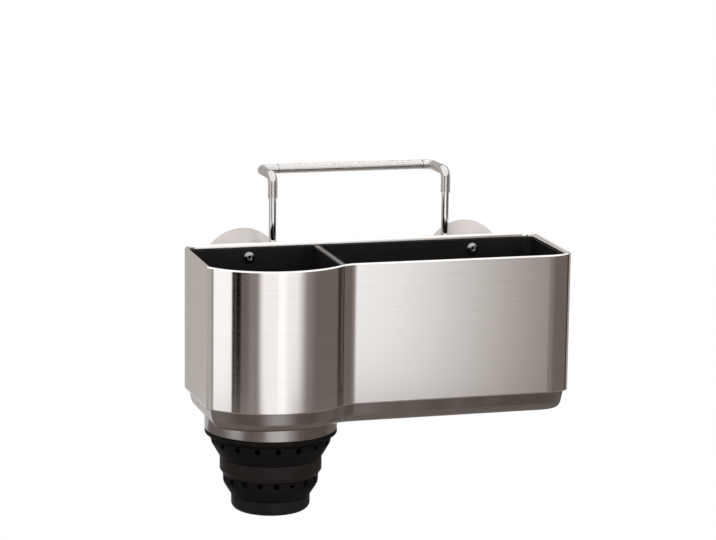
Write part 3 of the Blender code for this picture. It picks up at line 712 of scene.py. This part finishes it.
def two_tone(tree, shader, value, dark, light):
    mix = tree.nodes.new("ShaderNodeMix")
    mix.data_type = "RGBA"
    share = spread(tree, value, 0.0, 1.0)
    connect(tree, mix, {"A": (*dark, 1.0), "B": (*light, 1.0), "Factor": share})
    connect(tree, shader, {"Base Color": mix.outputs["Result"]})


def relief(tree, shader, value, strength, distance):
    inputs = {"Strength": strength, "Distance": distance, "Height": value}
    bump = add_node(tree, "ShaderNodeBump", inputs)
    connect(tree, shader, {"Normal": bump.outputs["Normal"]})


def brushed_steel(name):
    """Stainless sheet with a level grain: sharp across it and drawn out up and down."""
    material, tree, shader = new_material(name)
    fine = grain(tree, (22.0, 22.0, 2600.0), 2.0)
    broad = grain(tree, (5.0, 5.0, 420.0))
    streaks = maths(tree, "MULTIPLY_ADD", fine, 0.6, maths(tree, "MULTIPLY", broad, 0.4))
    two_tone(tree, shader, streaks, (0.765, 0.742, 0.722), (0.835, 0.812, 0.792))
    relief(tree, shader, streaks, 0.05, 0.00003)
    tangent = tree.nodes.new("ShaderNodeTangent")
    tangent.direction_type = "RADIAL"
    tangent.axis = "Z"
    inputs = {"Roughness": spread(tree, streaks, 0.100, 0.140), "Tangent": tangent.outputs["Tangent"]}
    connect(tree, shader, inputs)
    connect(tree, shader, {"Metallic": 1.0, "Anisotropic": 0.92, "Anisotropic Rotation": 0.25})
    return material


def moulded(name, dark, light, roughness, skin_scale, skin_depth, metallic=0.0, specular=0.5):
    """A moulded plastic or rubber: two near tones, uneven gloss and a fine skin."""
    material, tree, shader = new_material(name)
    skin = grain(tree, (skin_scale,) * 3, 2.0)
    patches = grain(tree, (skin_scale / 40,) * 3, 4.0)
    two_tone(tree, shader, patches, dark, light)
    relief(tree, shader, skin, 0.25, skin_depth)
    gloss = spread(tree, patches, roughness - 0.04, roughness + 0.04)
    connect(tree, shader, {"Roughness": gloss, "Metallic": metallic, "Specular IOR Level": specular})
    return material


def hazy(name, scale, detail, dark, light, gloss, constants, skin_depth=None):
    """A smooth material with a faint haze in its tone and gloss."""
    material, tree, shader = new_material(name)
    haze = grain(tree, (scale,) * 3, detail)
    two_tone(tree, shader, haze, dark, light)
    connect(tree, shader, {"Roughness": spread(tree, haze, *gloss), **constants})
    if skin_depth:
        relief(tree, shader, haze, 0.1, skin_depth)
    return material


def bright_metal(name, dark, light, roughness):
    gloss = (roughness * 0.7, roughness * 1.3)
    return hazy(name, 260.0, 3.0, dark, light, gloss, {"Metallic": 1.0})


def clear_vinyl(name):
    clear = {"Transmission Weight": 0.94, "IOR": 1.48}
    return hazy(name, 300.0, 3.0, (0.90, 0.88, 0.87), (0.94, 0.92, 0.91), (0.0, 0.012), clear)


def cloudy_vinyl(name):
    cloudy = {"Transmission Weight": 0.06, "IOR": 1.45}
    tones = ((0.650, 0.605, 0.580), (0.680, 0.633, 0.607))
    return hazy(name, 180.0, 4.0, *tones, (0.30, 0.38), cloudy, 0.00001)


def silicone_tone(name, dark, light, roughness, specular):
    return moulded(name, dark, light, roughness, 1800.0, 0.00004, specular=specular)


steel = brushed_steel("steel_level_grain")
liner_black = moulded(
    "liner_satin_black", (0.007, 0.006, 0.006), (0.010, 0.009, 0.009), 0.36, 2600.0, 0.00004, specular=0.35
)
base_grey = moulded(
    "base_satin_grey", (0.385, 0.36, 0.345), (0.42, 0.395, 0.38), 0.24, 3000.0, 0.000005, metallic=1.0
)
# One silicone in three copies. The darkest copy is for the folds and the flange, with painted shade for
# their downward faces. The lighter copies are for the band and the end cup, with painted light for the
# front light and highlight that they catch.
silicone_painted_shade = silicone_tone(
    "silicone_black_painted_shade", (0.0054, 0.0048, 0.0044), (0.0080, 0.0071, 0.0066), 0.55, 0.06
)
band_silicone_painted_light = silicone_tone(
    "silicone_band_painted_light", (0.0145, 0.0108, 0.0100), (0.0175, 0.0130, 0.0121), 0.50, 0.10
)
cup_silicone_painted_light = silicone_tone(
    "silicone_cup_painted_light", (0.0095, 0.0088, 0.0082), (0.0125, 0.0117, 0.0110), 0.45, 0.10
)
guide_grey = moulded(
    "guide_matt_grey", (0.042, 0.042, 0.042), (0.056, 0.055, 0.055), 0.5, 2200.0, 0.00004
)
chrome = bright_metal("chrome_plate", (0.74, 0.74, 0.735), (0.80, 0.80, 0.795), 0.07)
rivet_steel = bright_metal("rivet_steel", (0.30, 0.29, 0.285), (0.36, 0.35, 0.345), 0.20)
screw_steel = bright_metal("screw_zinc", (0.52, 0.52, 0.52), (0.64, 0.64, 0.63), 0.28)
plate_steel = bright_metal("plate_steel", (0.36, 0.345, 0.33), (0.40, 0.385, 0.37), 0.40)
vinyl = clear_vinyl("vinyl_clear")
soft_vinyl = cloudy_vinyl("vinyl_cloudy")


# Pieces

def add_piece(name, mesh, material, node, body="caddy", weighted=True):
    """A visible piece in the frame's own coordinates, which stands for one CAD node."""
    mesh.transform(Matrix.Translation(caddy))
    mesh.materials.clear()
    mesh.materials.append(material)
    piece = add_object(name, mesh)
    if weighted:
        smooth = piece.modifiers.new("even_normals", "WEIGHTED_NORMAL")
        smooth.keep_sharp = True
        smooth.mode = "FACE_AREA"
        smooth.weight = 100
    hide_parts(node)
    if body:
        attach(piece, body)
    return piece


def raised(mesh):
    """The mesh with its rim lifted a little towards the back wall."""
    top = shell_height - hem_width - hem_drop
    for vert in mesh.vertices:
        back_share = min(max(1 + vert.co.y / shell_depth, 0.0), 1.0)
        vert.co.z += rim_rise * back_share * smooth_step(vert.co.z, top - rim_rise_height, top)
    return mesh


def rivet_holes():
    low = -liner_inset - liner_thickness - cut_overrun
    return bars("rivet_holes", rivet_places, rivet_hole_radius, low, plate_back + cut_overrun, lying=True)


def throat():
    low = -base_depth - cut_overrun
    return bars("throat", [holder_place[:2]], throat_radius, low, liner_floor + cut_overrun, turn_steps)


def build_wrap():
    hem = hem_width / 2
    stations = [(lip_width, 0.0)] + edge_arc(0.0, 0.0, lip_radius, 270, 180)
    stations += edge_arc(0.0, shell_height, hem, 180, 90)
    stations += degrees_arc(hem, shell_height - hem_drop, hem, 90, 0, rise=hem_drop)[1:]
    stations.append((hem_width - sheet_thickness, shell_height - hem_drop))
    stations += degrees_arc(hem, shell_height - hem, hem - sheet_thickness, 0, 180)
    stations += edge_arc(sheet_thickness, sheet_thickness, lip_radius - sheet_thickness, 180, 270)
    stations.append((lip_width, sheet_thickness))
    mesh = worked(drawn("wrap", shell_plan, stations, joined=True), (cut, rivet_holes()))
    add_piece("wrap", raised(mesh), steel, "steel_shell")


def liner_stations():
    """Outside from the floor up, over the rim, and inside down to the floor's fillet."""
    inner = liner_step_inset + liner_thickness
    foot = liner_foot_inset + liner_thickness * 2 / 3
    edge = liner_thickness / 2
    step_top = liner_step_height + liner_step_slope
    corner = [
        (liner_foot_inset, liner_bottom),
        (liner_step_inset, liner_chamfer_top),
        (liner_step_inset, liner_step_height),
    ]
    stations = [(inset, 0.0, height) for inset, height in eased(corner, liner_fillet)]
    stations += [(liner_inset, 0.0, step_top), (liner_inset, 0.0, liner_top - edge)]
    for inset, height in degrees_arc(edge, liner_top - edge, edge, 180, 0)[1:]:
        stations.append((liner_inset + inset, inset, height))
    stations.append((liner_inset + liner_thickness, liner_thickness, step_top + liner_thickness))
    stations.append((inner, liner_thickness, liner_step_height + liner_thickness))
    corner = [(inner, liner_step_height), (inner, liner_chamfer_top), (foot, liner_floor)]
    corner.append((foot + liner_fillet, liner_floor))
    for inset, height in eased(corner, liner_fillet)[1:]:
        stations.append((inset, liner_thickness + max(inset - foot, 0.0), height))
    return stations


def add_lining(name, plan, node, *steps):
    mesh = worked(drawn(name, plan, liner_stations()), *steps, (cut, rivet_holes()))
    add_piece(name, raised(mesh), liner_black, node)


def boss_steps(places):
    """Screw bosses on a lining's floor, and then the blind holes in them."""
    top = liner_bottom + screw_boss_height + liner_thickness
    bosses = bars("bosses", places, screw_boss_radius, liner_bottom + liner_thickness / 2, top)
    pilots = bars("pilots", places, screw_hole_radius, liner_bottom - cut_overrun, top - screw_boss_cover)
    return (union, bosses), (cut, pilots)


def build_cup_lining():
    add_lining("cup_lining", cup_plan, "cup_liner", (cut, throat()), *boss_steps(cup_screws))


def rib_places():
    """Even places along the tray's floor, between its screw bosses."""
    low = tray_liner_side + screw_from_divider + screw_boss_radius * 2
    high = shell_width - screw_from_side - screw_boss_radius * 2
    return [low + (high - low) * (i + 0.5) / floor_rib_count for i in range(floor_rib_count)]


def drain_slots(low, high):
    """Slots midway between the ribs."""
    ribs = rib_places()
    between = [(left + right) / 2 for left, right in zip(ribs, ribs[1:])]
    length = (shell_depth - 2 * liner_foot_inset) / 2
    return oblongs(between, length, drain_slot_width, [(0.0, low), (0.0, high)])


def build_tray_lining():
    length = shell_depth - 2 * liner_foot_inset - 2 * screw_boss_radius
    stations = [(0.0, liner_floor - liner_thickness / 2)]
    stations += edge_arc(0.0, liner_floor + floor_rib_height, floor_rib_edge, 180, 90, edge_steps)
    steps = [
        *boss_steps(tray_screws),
        (union, oblongs(rib_places(), length, floor_rib_width, stations)),
        (cut, drain_slots(liner_bottom - cut_overrun, liner_floor + cut_overrun)),
    ]
    add_lining("tray_lining", tray_plan, "tray_liner", *steps)


def build_divider():
    side = [
        (liner_inset, liner_top),
        (liner_inset, liner_step_height + liner_step_slope),
        (liner_step_inset, liner_step_height),
        (liner_step_inset, liner_chamfer_top),
        (liner_foot_inset, liner_bottom),
    ]
    outline = [(-shell_depth + inset, z) for inset, z in side] + [(-inset, z) for inset, z in side[::-1]]
    half = divider_thickness / 2
    rings = [[(divider_centre_x + offset, y, z) for y, z in outline] for offset in (-half, half)]
    mesh = raised(loft("divider", rings))
    piece = add_piece("divider", mesh, plate_steel, "divider_plate", None)
    edge = piece.modifiers.new("eased_edges", "BEVEL")
    edge.width = divider_edge_radius
    edge.segments = edge_steps
    edge.limit_method = "ANGLE"
    piece.modifiers.move(1, 0)
    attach(piece, "caddy")


def build_base():
    start = math.pi + base_draft
    end = math.pi * 3 / 2
    wall_top = ledge_bottom + base_thickness
    inner = liner_inset + base_thickness
    slope = base_thickness / math.cos(base_draft) - base_thickness * math.tan(base_draft)
    centre = (base_round_inset, base_round_height)
    stations = arc(*centre, base_edge_radius, end, start, round_steps * 2)
    stations += [(base_inset, ledge_bottom), (liner_inset, ledge_bottom), (liner_inset, ledge_top)]
    stations += [(inner, ledge_top), (inner, wall_top), (base_inset + slope, wall_top)]
    stations += arc(*centre, base_edge_radius - base_thickness, start, end)
    mesh = drawn("base_moulding", shell_plan, stations)
    inner = collar_radius - collar_thickness
    profile = [(collar_radius, pad_top)]
    profile += edge_arc(collar_radius, collar_bottom, collar_chamfer, 0, -90)
    profile += [(collar_lip_radius, collar_bottom), (collar_lip_radius, collar_lip_top)]
    profile += [(inner, collar_lip_top), (inner, pad_top)]
    collar = turned("collar", profile, holder_place, joined=True)
    low = -base_depth - cut_overrun
    pocket_top = -base_depth + screw_pocket_depth
    places = cup_screws + tray_screws
    pads = bars("pads", places, base_pad_radius, base_floor - base_thickness / 2, pad_top, small_turn_steps)
    pockets = bars("pockets", places, screw_head_radius + seat_gap, low, pocket_top)
    holes = bars("holes", places, screw_hole_radius, -base_depth, pad_top + cut_overrun)
    slots = drain_slots(low, base_floor + cut_overrun)
    steps = [(union, pads), (union, collar), (cut, throat()), (cut, pockets), (cut, holes), (cut, slots)]
    add_piece("base_moulding", worked(mesh, *steps), base_grey, "base_tray")


def build_flange():
    neck = collar_lip_radius - seat_gap
    bead = neck + flange_bead_width
    bead_bottom = collar_lip_top + seat_gap
    bead_top = bead_bottom + flange_bead_height
    inner = skirt_radius - flange_wall
    profile = edge_arc(bead, bead_top, flange_bead_height / 2, 90, 0)
    profile += [(bead, bead_bottom), (neck, bead_bottom), (neck, flange_top)]
    profile += edge_arc(collar_radius, flange_top, holder_edge, 90, 0)
    profile += edge_arc(collar_radius, flange_bottom, flange_edge_radius, 0, -90)
    profile += edge_arc(skirt_radius, flange_bottom, holder_edge, 90, 180)
    profile += [(skirt_radius, skirt_bottom), (inner, skirt_bottom), (inner, flange_bottom)]
    profile += [(neck - flange_wall, flange_top), (neck - flange_wall, bead_top)]
    mesh = turned("holder_ring", profile, holder_place, joined=True)
    add_piece("holder_ring", mesh, silicone_painted_shade, "holder_flange")


def fold_mesh(name, outer, inner, top):
    """A thin fold of the holder with its ring of drain holes."""
    profile = with_rows(eased(outer, fold_ease)) + with_rows(eased(inner, fold_ease))
    return worked(turned(name, profile, holder_place, joined=True), (cut, hole_ring(top - hole_drop)))


def build_upper_fold():
    wall = pleat_thickness
    outer = [
        (skirt_radius, upper_pleat_top),
        (skirt_radius - wall / 4, upper_cone_top),
        (band_radius, upper_pleat_bottom),
    ]
    inner = [
        (band_radius - wall, upper_pleat_bottom),
        (skirt_radius - wall * 5 / 4, upper_cone_top - wall / 2),
        (skirt_radius - wall, upper_pleat_top),
    ]
    mesh = fold_mesh("upper_fold", outer, inner, upper_pleat_top)
    piece = add_piece("upper_fold", mesh, silicone_painted_shade, "upper_pleat", None, weighted=False)
    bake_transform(piece)


def taper_radius(height):
    """The band's outer radius on its taper."""
    step = pleat_thickness / 2
    share = (height - band_bottom) / (band_corner - step - band_bottom)
    return shoulder_radius + (band_radius - step - shoulder_radius) * share


def build_band():
    step = pleat_thickness / 2
    inner = band_radius - band_thickness
    seam = band_bottom + lower_hole_rise
    outer = [
        (band_radius - holder_edge / 2, band_top),
        (band_radius, band_top - holder_edge),
        (band_radius, band_corner),
        (band_radius - step, band_corner - step),
        (taper_radius(seam), seam),
    ]
    profile = eased(outer, holder_edge) + [(taper_radius(seam) - bottom_cup_wall, seam)]
    profile += [(inner, band_corner), (inner, band_top)]
    mesh = turned("centre_band", profile, holder_place, joined=True)
    add_piece("centre_band", mesh, band_silicone_painted_light, "middle_band", "holder_band")


def build_lower_fold():
    wall = pleat_thickness
    top = lower_pleat_top + lower_hole_rise
    outer = [
        (taper_radius(top), top),
        (shoulder_radius, lower_pleat_top),
        (shoulder_radius, lower_cone_top),
        (bottom_cup_radius, lower_pleat_bottom),
    ]
    inner = [
        (bottom_cup_radius - wall, lower_pleat_bottom),
        (shoulder_radius - wall, lower_cone_top - wall / 2),
        (shoulder_radius - wall, lower_pleat_top),
        (taper_radius(top) - wall, top),
    ]
    mesh = fold_mesh("lower_fold", outer, inner, top)
    piece = add_piece("lower_fold", mesh, silicone_painted_shade, "lower_pleat", None, weighted=False)
    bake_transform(piece)


def build_end_cup():
    inner = bottom_cup_radius - bottom_cup_wall
    floor = bottom_cup_bottom + bottom_cup_wall
    profile = [(0.0, floor)] + edge_arc(inner, floor, bottom_edge_radius - bottom_cup_wall, -90, 0)
    profile.append((inner, bottom_cup_top))
    profile += edge_arc(bottom_cup_radius, bottom_cup_top, holder_edge / 2, 90, 0, edge_steps)
    profile += edge_arc(bottom_cup_radius, bottom_cup_bottom, bottom_edge_radius, 0, -90, round_steps * 2)
    profile.append((0.0, bottom_cup_bottom))
    mesh = turned("end_cup", profile, holder_place)
    add_piece("end_cup", mesh, cup_silicone_painted_light, "bottom_cup", "holder_cup")


def arm_line(x, low):
    """Up a leg from a height, and out along its arm."""
    return [(x, leg_axis_y, low), (x, leg_axis_y, arm_height), (x, arm_y, arm_height)]


def build_hook():
    corners = arm_line(hook_left, leg_end_height) + arm_line(hook_right, leg_end_height)[::-1]
    mesh = tube("hook_rod", round_path(corners), wire_radius, holder_edge)
    add_piece("hook_rod", mesh, chrome, "hook_wire", "hook")
    bore = wire_radius + sleeve_grip
    ease = sleeve_wall / 2
    gap = seat_gap / 2
    for side, x, seam in (("left", hook_left, left_seam - gap), ("right", hook_right, right_seam + gap)):
        line = round_path(arm_line(x, sleeve_end_height) + [(seam, arm_y, arm_height)])
        mesh = tube(f"{side}_arm_cover", line, sleeve_radius, ease, bore)
        add_piece(f"{side}_arm_cover", mesh, vinyl, f"{side}_arm_sleeve", "hook")
    start = left_seam + gap
    length = right_seam - gap - start
    line = [Vector((start + length * i / edge_steps, arm_y, arm_height)) for i in range(edge_steps + 1)]
    mesh = tube("bar_cover", line, sleeve_radius, ease, bore)
    add_piece("bar_cover", mesh, vinyl, "bar_sleeve", "hook")
    floor = leg_end_height - seat_gap
    bottom = floor - leg_cap_end
    top = floor + leg_cap_length
    profile = [(0.0, floor), (wire_bore_radius, floor), (wire_bore_radius, top)]
    profile += edge_arc(leg_cap_radius, top, leg_cap_wall / 3, 90, 0, edge_steps)
    profile += edge_arc(leg_cap_radius, bottom, leg_cap_end, 0, -90)
    profile.append((0.0, bottom))
    for side, x in (("left", hook_left), ("right", hook_right)):
        mesh = turned(f"{side}_foot", profile, (x, leg_axis_y, 0.0), small_turn_steps)
        add_piece(f"{side}_foot", mesh, soft_vinyl, f"{side}_leg_cap", "hook")


def build_guide(side, cup_x, leg_x):
    """A plate with a channel for the hook's leg and a socket for the suction cup's button."""
    margins = (guide_margin, channel_radius) if cup_x < leg_x else (channel_radius, guide_margin)
    low_x = min(cup_x, leg_x) - margins[0]
    high_x = max(cup_x, leg_x) + margins[1]
    edge = guide_edge

    def plate(inset):
        radius = inner_corner(guide_corner_radius, inset)
        left, right = low_x + inset, high_x - inset
        low, high = guide_bottom + inset, guide_top - inset
        points = edge_arc(right, high, radius, 0, 90) + edge_arc(left, high, radius, 90, 180)
        return points + edge_arc(left, low, radius, 180, 270) + edge_arc(right, low, radius, 270, 360)

    def channel(inset):
        radius = channel_radius - inset
        curve = arc(leg_x, leg_axis_y, radius, 0, math.pi, round_steps * 3)
        return [(leg_x + radius, seat_gap)] + curve + [(leg_x - radius, seat_gap)]

    stations = [(0.0, seat_gap)] + edge_arc(0.0, plate_back, edge, 180, 90)
    block = [(edge, guide_bottom), (0.0, guide_bottom + edge), (0.0, guide_top - edge), (edge, guide_top)]
    post_start = plate_back - guide_plate_thickness / 2
    post = [(0.0, post_start), (socket_radius, post_start)]
    post += edge_arc(socket_radius, socket_back, edge, 0, 90)
    post.append((0.0, socket_back))
    low = -cut_overrun
    high = socket_back + cut_overrun
    bore = [(0.0, low), (socket_bore_radius, low), (socket_bore_radius, socket_mouth)]
    bore += [(socket_lip_radius, socket_mouth), (socket_lip_radius, high), (0.0, high)]
    ends = (guide_bottom - cut_overrun, guide_top + cut_overrun)
    leg_bore = bars("leg_bore", [(leg_x, leg_axis_y)], wire_bore_radius, *ends, small_turn_steps)
    place = (cup_x, 0.0, cup_height)
    name = f"{side}_guide_block"
    mesh = worked(
        drawn(name, plate, stations, upright=True),
        (union, drawn("channel", channel, block)),
        (union, turned("post", post, place, small_turn_steps * 2, lying=True)),
        (cut, turned("bore", bore, place, small_turn_steps, lying=True)),
        (cut, leg_bore),
        (cut, rivet_holes()),
    )
    add_piece(name, mesh, guide_grey, f"{side}_guide")


def build_suction_disc(side, x):
    """A soft cup: a button in the guide's socket, a neck, and a dished disc with a flat rim."""
    button_top = socket_mouth - seat_gap
    neck_end = socket_back + seat_gap
    back_start = neck_end + seat_gap
    rim_front = suction_plane - suction_rim_thickness
    inner = suction_cup_radius - suction_rim_width
    profile = [(0.0, suction_button_clearance), (suction_button_radius, suction_button_clearance)]
    profile += [(suction_button_radius, button_top), (suction_neck_radius, button_top)]
    profile += [(suction_neck_radius, neck_end), (suction_root_radius, back_start)]
    for step in range(1, suction_steps):
        share = step / suction_steps
        radius = suction_root_radius + (suction_cup_radius - suction_root_radius) * share
        profile.append((radius, back_start + (rim_front - back_start) * share**suction_back_curve))
    edge = suction_rim_thickness / 2
    profile += degrees_arc(suction_cup_radius - edge, suction_plane - edge, edge, -90, 90)
    for step in range(suction_steps + 1):
        share = 1 - step / suction_steps
        profile.append((inner * share, suction_plane - suction_hollow_depth * (1 - share**2)))
    mesh = turned(f"{side}_disc", profile, (x, 0.0, cup_height), lying=True)
    add_piece(f"{side}_disc", mesh, soft_vinyl, f"{side}_suction_cup", weighted=False)


def build_rivets():
    head_seat = liner_inset + liner_thickness + seat_gap
    tail_seat = plate_back + seat_gap
    roll = rivet_tail_height / 2
    head_start = math.acos(rivet_radius / rivet_head_radius)
    profile = [(0.0, -head_seat - rivet_dimple_floor), (rivet_dimple_radius, -head_seat - rivet_dimple_rim)]
    profile += arc(0.0, -head_seat, rivet_head_radius, head_start, 0.0, rise=-rivet_head_height)
    profile += [(rivet_radius, -head_seat), (rivet_radius, tail_seat)]
    profile += degrees_arc(rivet_tail_radius - roll, tail_seat + roll, roll, -90, 90)
    profile += [(rivet_radius / 2, tail_seat + roll * 2), (rivet_radius / 3, tail_seat + roll)]
    profile.append((0.0, tail_seat + roll))
    for number, (x, z) in enumerate(rivet_places, start=1):
        name = f"rivet_{number}"
        mesh = turned(name, profile, (x, 0.0, z), small_turn_steps, lying=True)
        add_piece(name, mesh, rivet_steel, f"guide_rivet_{number}", weighted=False)


def build_screws():
    tip = liner_bottom + screw_boss_height + liner_thickness - screw_boss_cover - seat_gap
    head_top = -base_depth + screw_pocket_depth - seat_gap
    head_bottom = head_top - screw_head_height
    half = screw_head_height / 2
    third = screw_head_radius / 3
    profile = [(0.0, tip), (screw_radius / 2, tip), (screw_radius, tip - screw_radius)]
    profile += [(screw_radius, head_top), (screw_head_radius, head_top)]
    profile += degrees_arc(third * 2, head_bottom + half, third, 0, 90, rise=-half)
    profile.append((0.0, head_bottom))
    for number, (x, y) in enumerate(cup_screws + tray_screws, start=1):
        name = f"screw_{number}"
        cross = []
        for length, width in ((recess_length, recess_width), (recess_width, recess_length)):
            size = Vector((length, width, recess_depth + cut_overrun))
            middle = Vector((x, y, head_bottom + recess_depth - size.z / 2))
            bm = bmesh.new()
            bmesh.ops.create_cube(bm, size=1, matrix=Matrix.LocRotScale(middle, None, size))
            cross.append((cut, finish_mesh(bm, "recess")))
        mesh = worked(turned(name, profile, (x, y, 0.0), small_turn_steps), *cross)
        add_piece(name, mesh, screw_steel, f"base_screw_{number}")


build_wrap()
build_cup_lining()
build_tray_lining()
build_divider()
build_base()
build_flange()
build_upper_fold()
build_band()
build_lower_fold()
build_end_cup()
build_hook()
build_guide("left", cup_left, hook_left)
build_guide("right", cup_right, hook_right)
build_suction_disc("left", cup_left)
build_suction_disc("right", cup_right)
build_rivets()
build_screws()


# Studio

def all_round(level):
    return ((-1, 721, level, 1, 1),)


# Panels round the object, as seen from above, in degrees clockwise from the back wall's outward
# direction: start, end, level in the middle, softness of the two edges
panels = (
    (30, 93, 0.42, 6, 6),
    (93, 400, 0.17, 6, 1),
    (85, 95.5, 0.04, 3, 4),
    (137, 400, 0.27, 13, 1),
    (152.5, 207, 1.08, 19, 10),
    (174, 184, 1.26, 6, 3),
    (221, 231, 0.155, 8, 3),
    (231, 238, 0.0, 3, 1.5),
    (238, 239.2, 0.06, 1.5, 1.5),
    (239.2, 243.4, 0.0, 1.5, 1.8),
    (243.2, 269.6, 1.19, 2, 1.6),
    (269.6, 272, 0.22, 1.6, 2),
    (272, 390, 0.51, 2, 6),
)
low_panels = (
    *all_round(0.175),
    (80, 118, 0.27, 14, 20),
    (164, 199, 0.88, 28, 26),
    (254, 335, 0.33, 30, 10),
    (335, 395, 0.80, 10, 10),
)
collar_panels = (
    *all_round(0.20),
    (168, 203, 1.15, 18, 12),
    (212, 250, 0.40, 14, 12),
    (250, 280, 0.55, 10, 10),
    (280, 335, 0.12, 10, 10),
    (335, 395, 0.80, 10, 10),
)
# Each row's height, and the panels that light it
tent_rows = (
    (tent_low, all_round(under_level)),
    (tent_low, low_panels),
    (low_panels_top, low_panels),
    (collar_panels_bottom, collar_panels),
    (collar_panels_top, collar_panels),
    (panels_bottom, panels),
    (panels_top, panels),
    (overhead_bottom, all_round(overhead_level)),
    (tent_high, all_round(overhead_level)),
)


def tent_level(angle, table):
    level = tent_open_level
    for start, end, panel, start_edge, end_edge in table:
        for turn in (angle, angle + 360):
            inside = smooth_step(turn, start - start_edge / 2, start + start_edge / 2)
            inside *= 1 - smooth_step(turn, end - end_edge / 2, end + end_edge / 2)
            level += (panel - level) * inside
    return level


def add_stage(name, bm, material):
    mesh = to_mesh(bm, name)
    mesh.materials.append(material)
    thing = add_object(name, mesh)
    return thing


def build_tent():
    """Softboxes and flags round the object, seen only by its shiny surfaces."""
    bm = bmesh.new()
    layer = bm.verts.layers.float_color.new("panel_light")
    rows = []
    for height, table in tent_rows:
        row = []
        for i in range(tent_columns):
            angle = math.tau * i / tent_columns
            place = Vector((math.sin(angle), math.cos(angle), 0)) * tent_radius
            row.append(bm.verts.new(tent_centre + place + Vector((0, 0, height))))
            level = tent_level(math.degrees(angle), table)
            warm = min(level, 1.0)
            row[-1][layer] = (level, level * warm**warm_green_power, level * warm**warm_blue_power, 1.0)
        rows.append(row)
    add_skin(bm, rows)
    bm.faces.new(rows[0])
    bm.faces.new(rows[-1])
    material = bpy.data.materials.new("tent_light")
    material.use_nodes = True
    tree = material.node_tree
    tree.nodes.clear()
    light = tree.nodes.new("ShaderNodeVertexColor")
    light.layer_name = "panel_light"
    emission = add_node(tree, "ShaderNodeEmission", {"Color": light.outputs["Color"]})
    add_node(tree, "ShaderNodeOutputMaterial", {"Surface": emission.outputs["Emission"]})
    material.cycles.emission_sampling = "NONE"
    tent = add_stage("light_tent", bm, material)
    tent.visible_camera = False
    tent.visible_diffuse = False
    tent.visible_shadow = False
    tent.visible_volume_scatter = False


def build_floor():
    bm = bmesh.new()
    bmesh.ops.create_circle(bm, cap_ends=True, segments=floor_steps, radius=floor_radius)
    bmesh.ops.translate(bm, verts=bm.verts, vec=tent_centre + Vector((0, 0, floor_height)))
    material, tree, shader = new_material("floor_pale")
    two_tone(tree, shader, grain(tree, (3.0, 3.0, 3.0)), (0.72, 0.72, 0.72), (0.75, 0.75, 0.75))
    connect(tree, shader, {"Roughness": 0.9, "Specular IOR Level": 0.1})
    add_stage("floor", bm, material)


def build_world():
    """White wherever the background is seen, directly or in metal and glass; softer as light."""
    world = bpy.data.worlds.new("studio")
    scene.world = world
    world.use_nodes = True
    tree = world.node_tree
    tree.nodes.clear()
    rays = tree.nodes.new("ShaderNodeLightPath").outputs
    seen = maths(tree, "MAXIMUM", rays["Is Camera Ray"], rays["Is Glossy Ray"])
    seen = maths(tree, "MAXIMUM", seen, rays["Is Transmission Ray"])
    white = (1.0, 1.0, 1.0, 1.0)
    soft = add_node(tree, "ShaderNodeBackground", {"Color": white, "Strength": soft_light_share})
    full = add_node(tree, "ShaderNodeBackground", {"Color": white, "Strength": 1.0})
    shades = {"Fac": seen, 1: soft.outputs["Background"], 2: full.outputs["Background"]}
    mix = add_node(tree, "ShaderNodeMixShader", shades)
    add_node(tree, "ShaderNodeOutputWorld", {"Surface": mix.outputs["Shader"]})


def add_lamp(name, place, power):
    """A round lamp at a place in the caddy's coordinates, turned to its middle."""
    light = bpy.data.lights.new(name, "AREA")
    light.shape = "DISK"
    light.size = lamp_size
    light.energy = power
    lamp = add_object(name, light)
    lamp.location = caddy + Vector(place)
    direction = Vector((shell_width / 2, -shell_depth / 2, 0.0)) - Vector(place)
    lamp.rotation_euler = direction.to_track_quat("-Z", "Y").to_euler()
    lamp.visible_glossy = False
    lamp.visible_transmission = False
    lamp.visible_camera = False


def build_camera():
    camera = bpy.data.cameras.new("view")
    camera.sensor_fit = "HORIZONTAL"
    camera.sensor_width = sensor_width
    camera.lens = sensor_width * focal_pixels / image_width
    camera.clip_start = 0.05
    camera.clip_end = 20.0
    scene.camera = add_object("view", camera)
    place = Matrix.Translation(caddy + Vector(camera_place))
    heading = Matrix.Rotation(camera_heading, 4, "Z")
    tilt = Matrix.Rotation(camera_tilt, 4, "X")
    scene.camera.matrix_world = place @ heading @ tilt @ Matrix.Rotation(camera_roll, 4, "Z")


build_tent()
build_floor()
build_world()
add_lamp("key", (-0.55, -1.05, 1.15), 9.0)
add_lamp("fill", (0.95, -0.75, 0.65), 5.0)
add_lamp("back", (0.2, 1.1, 0.9), 5.0)
build_camera()
scene.view_settings.view_transform = "Standard"
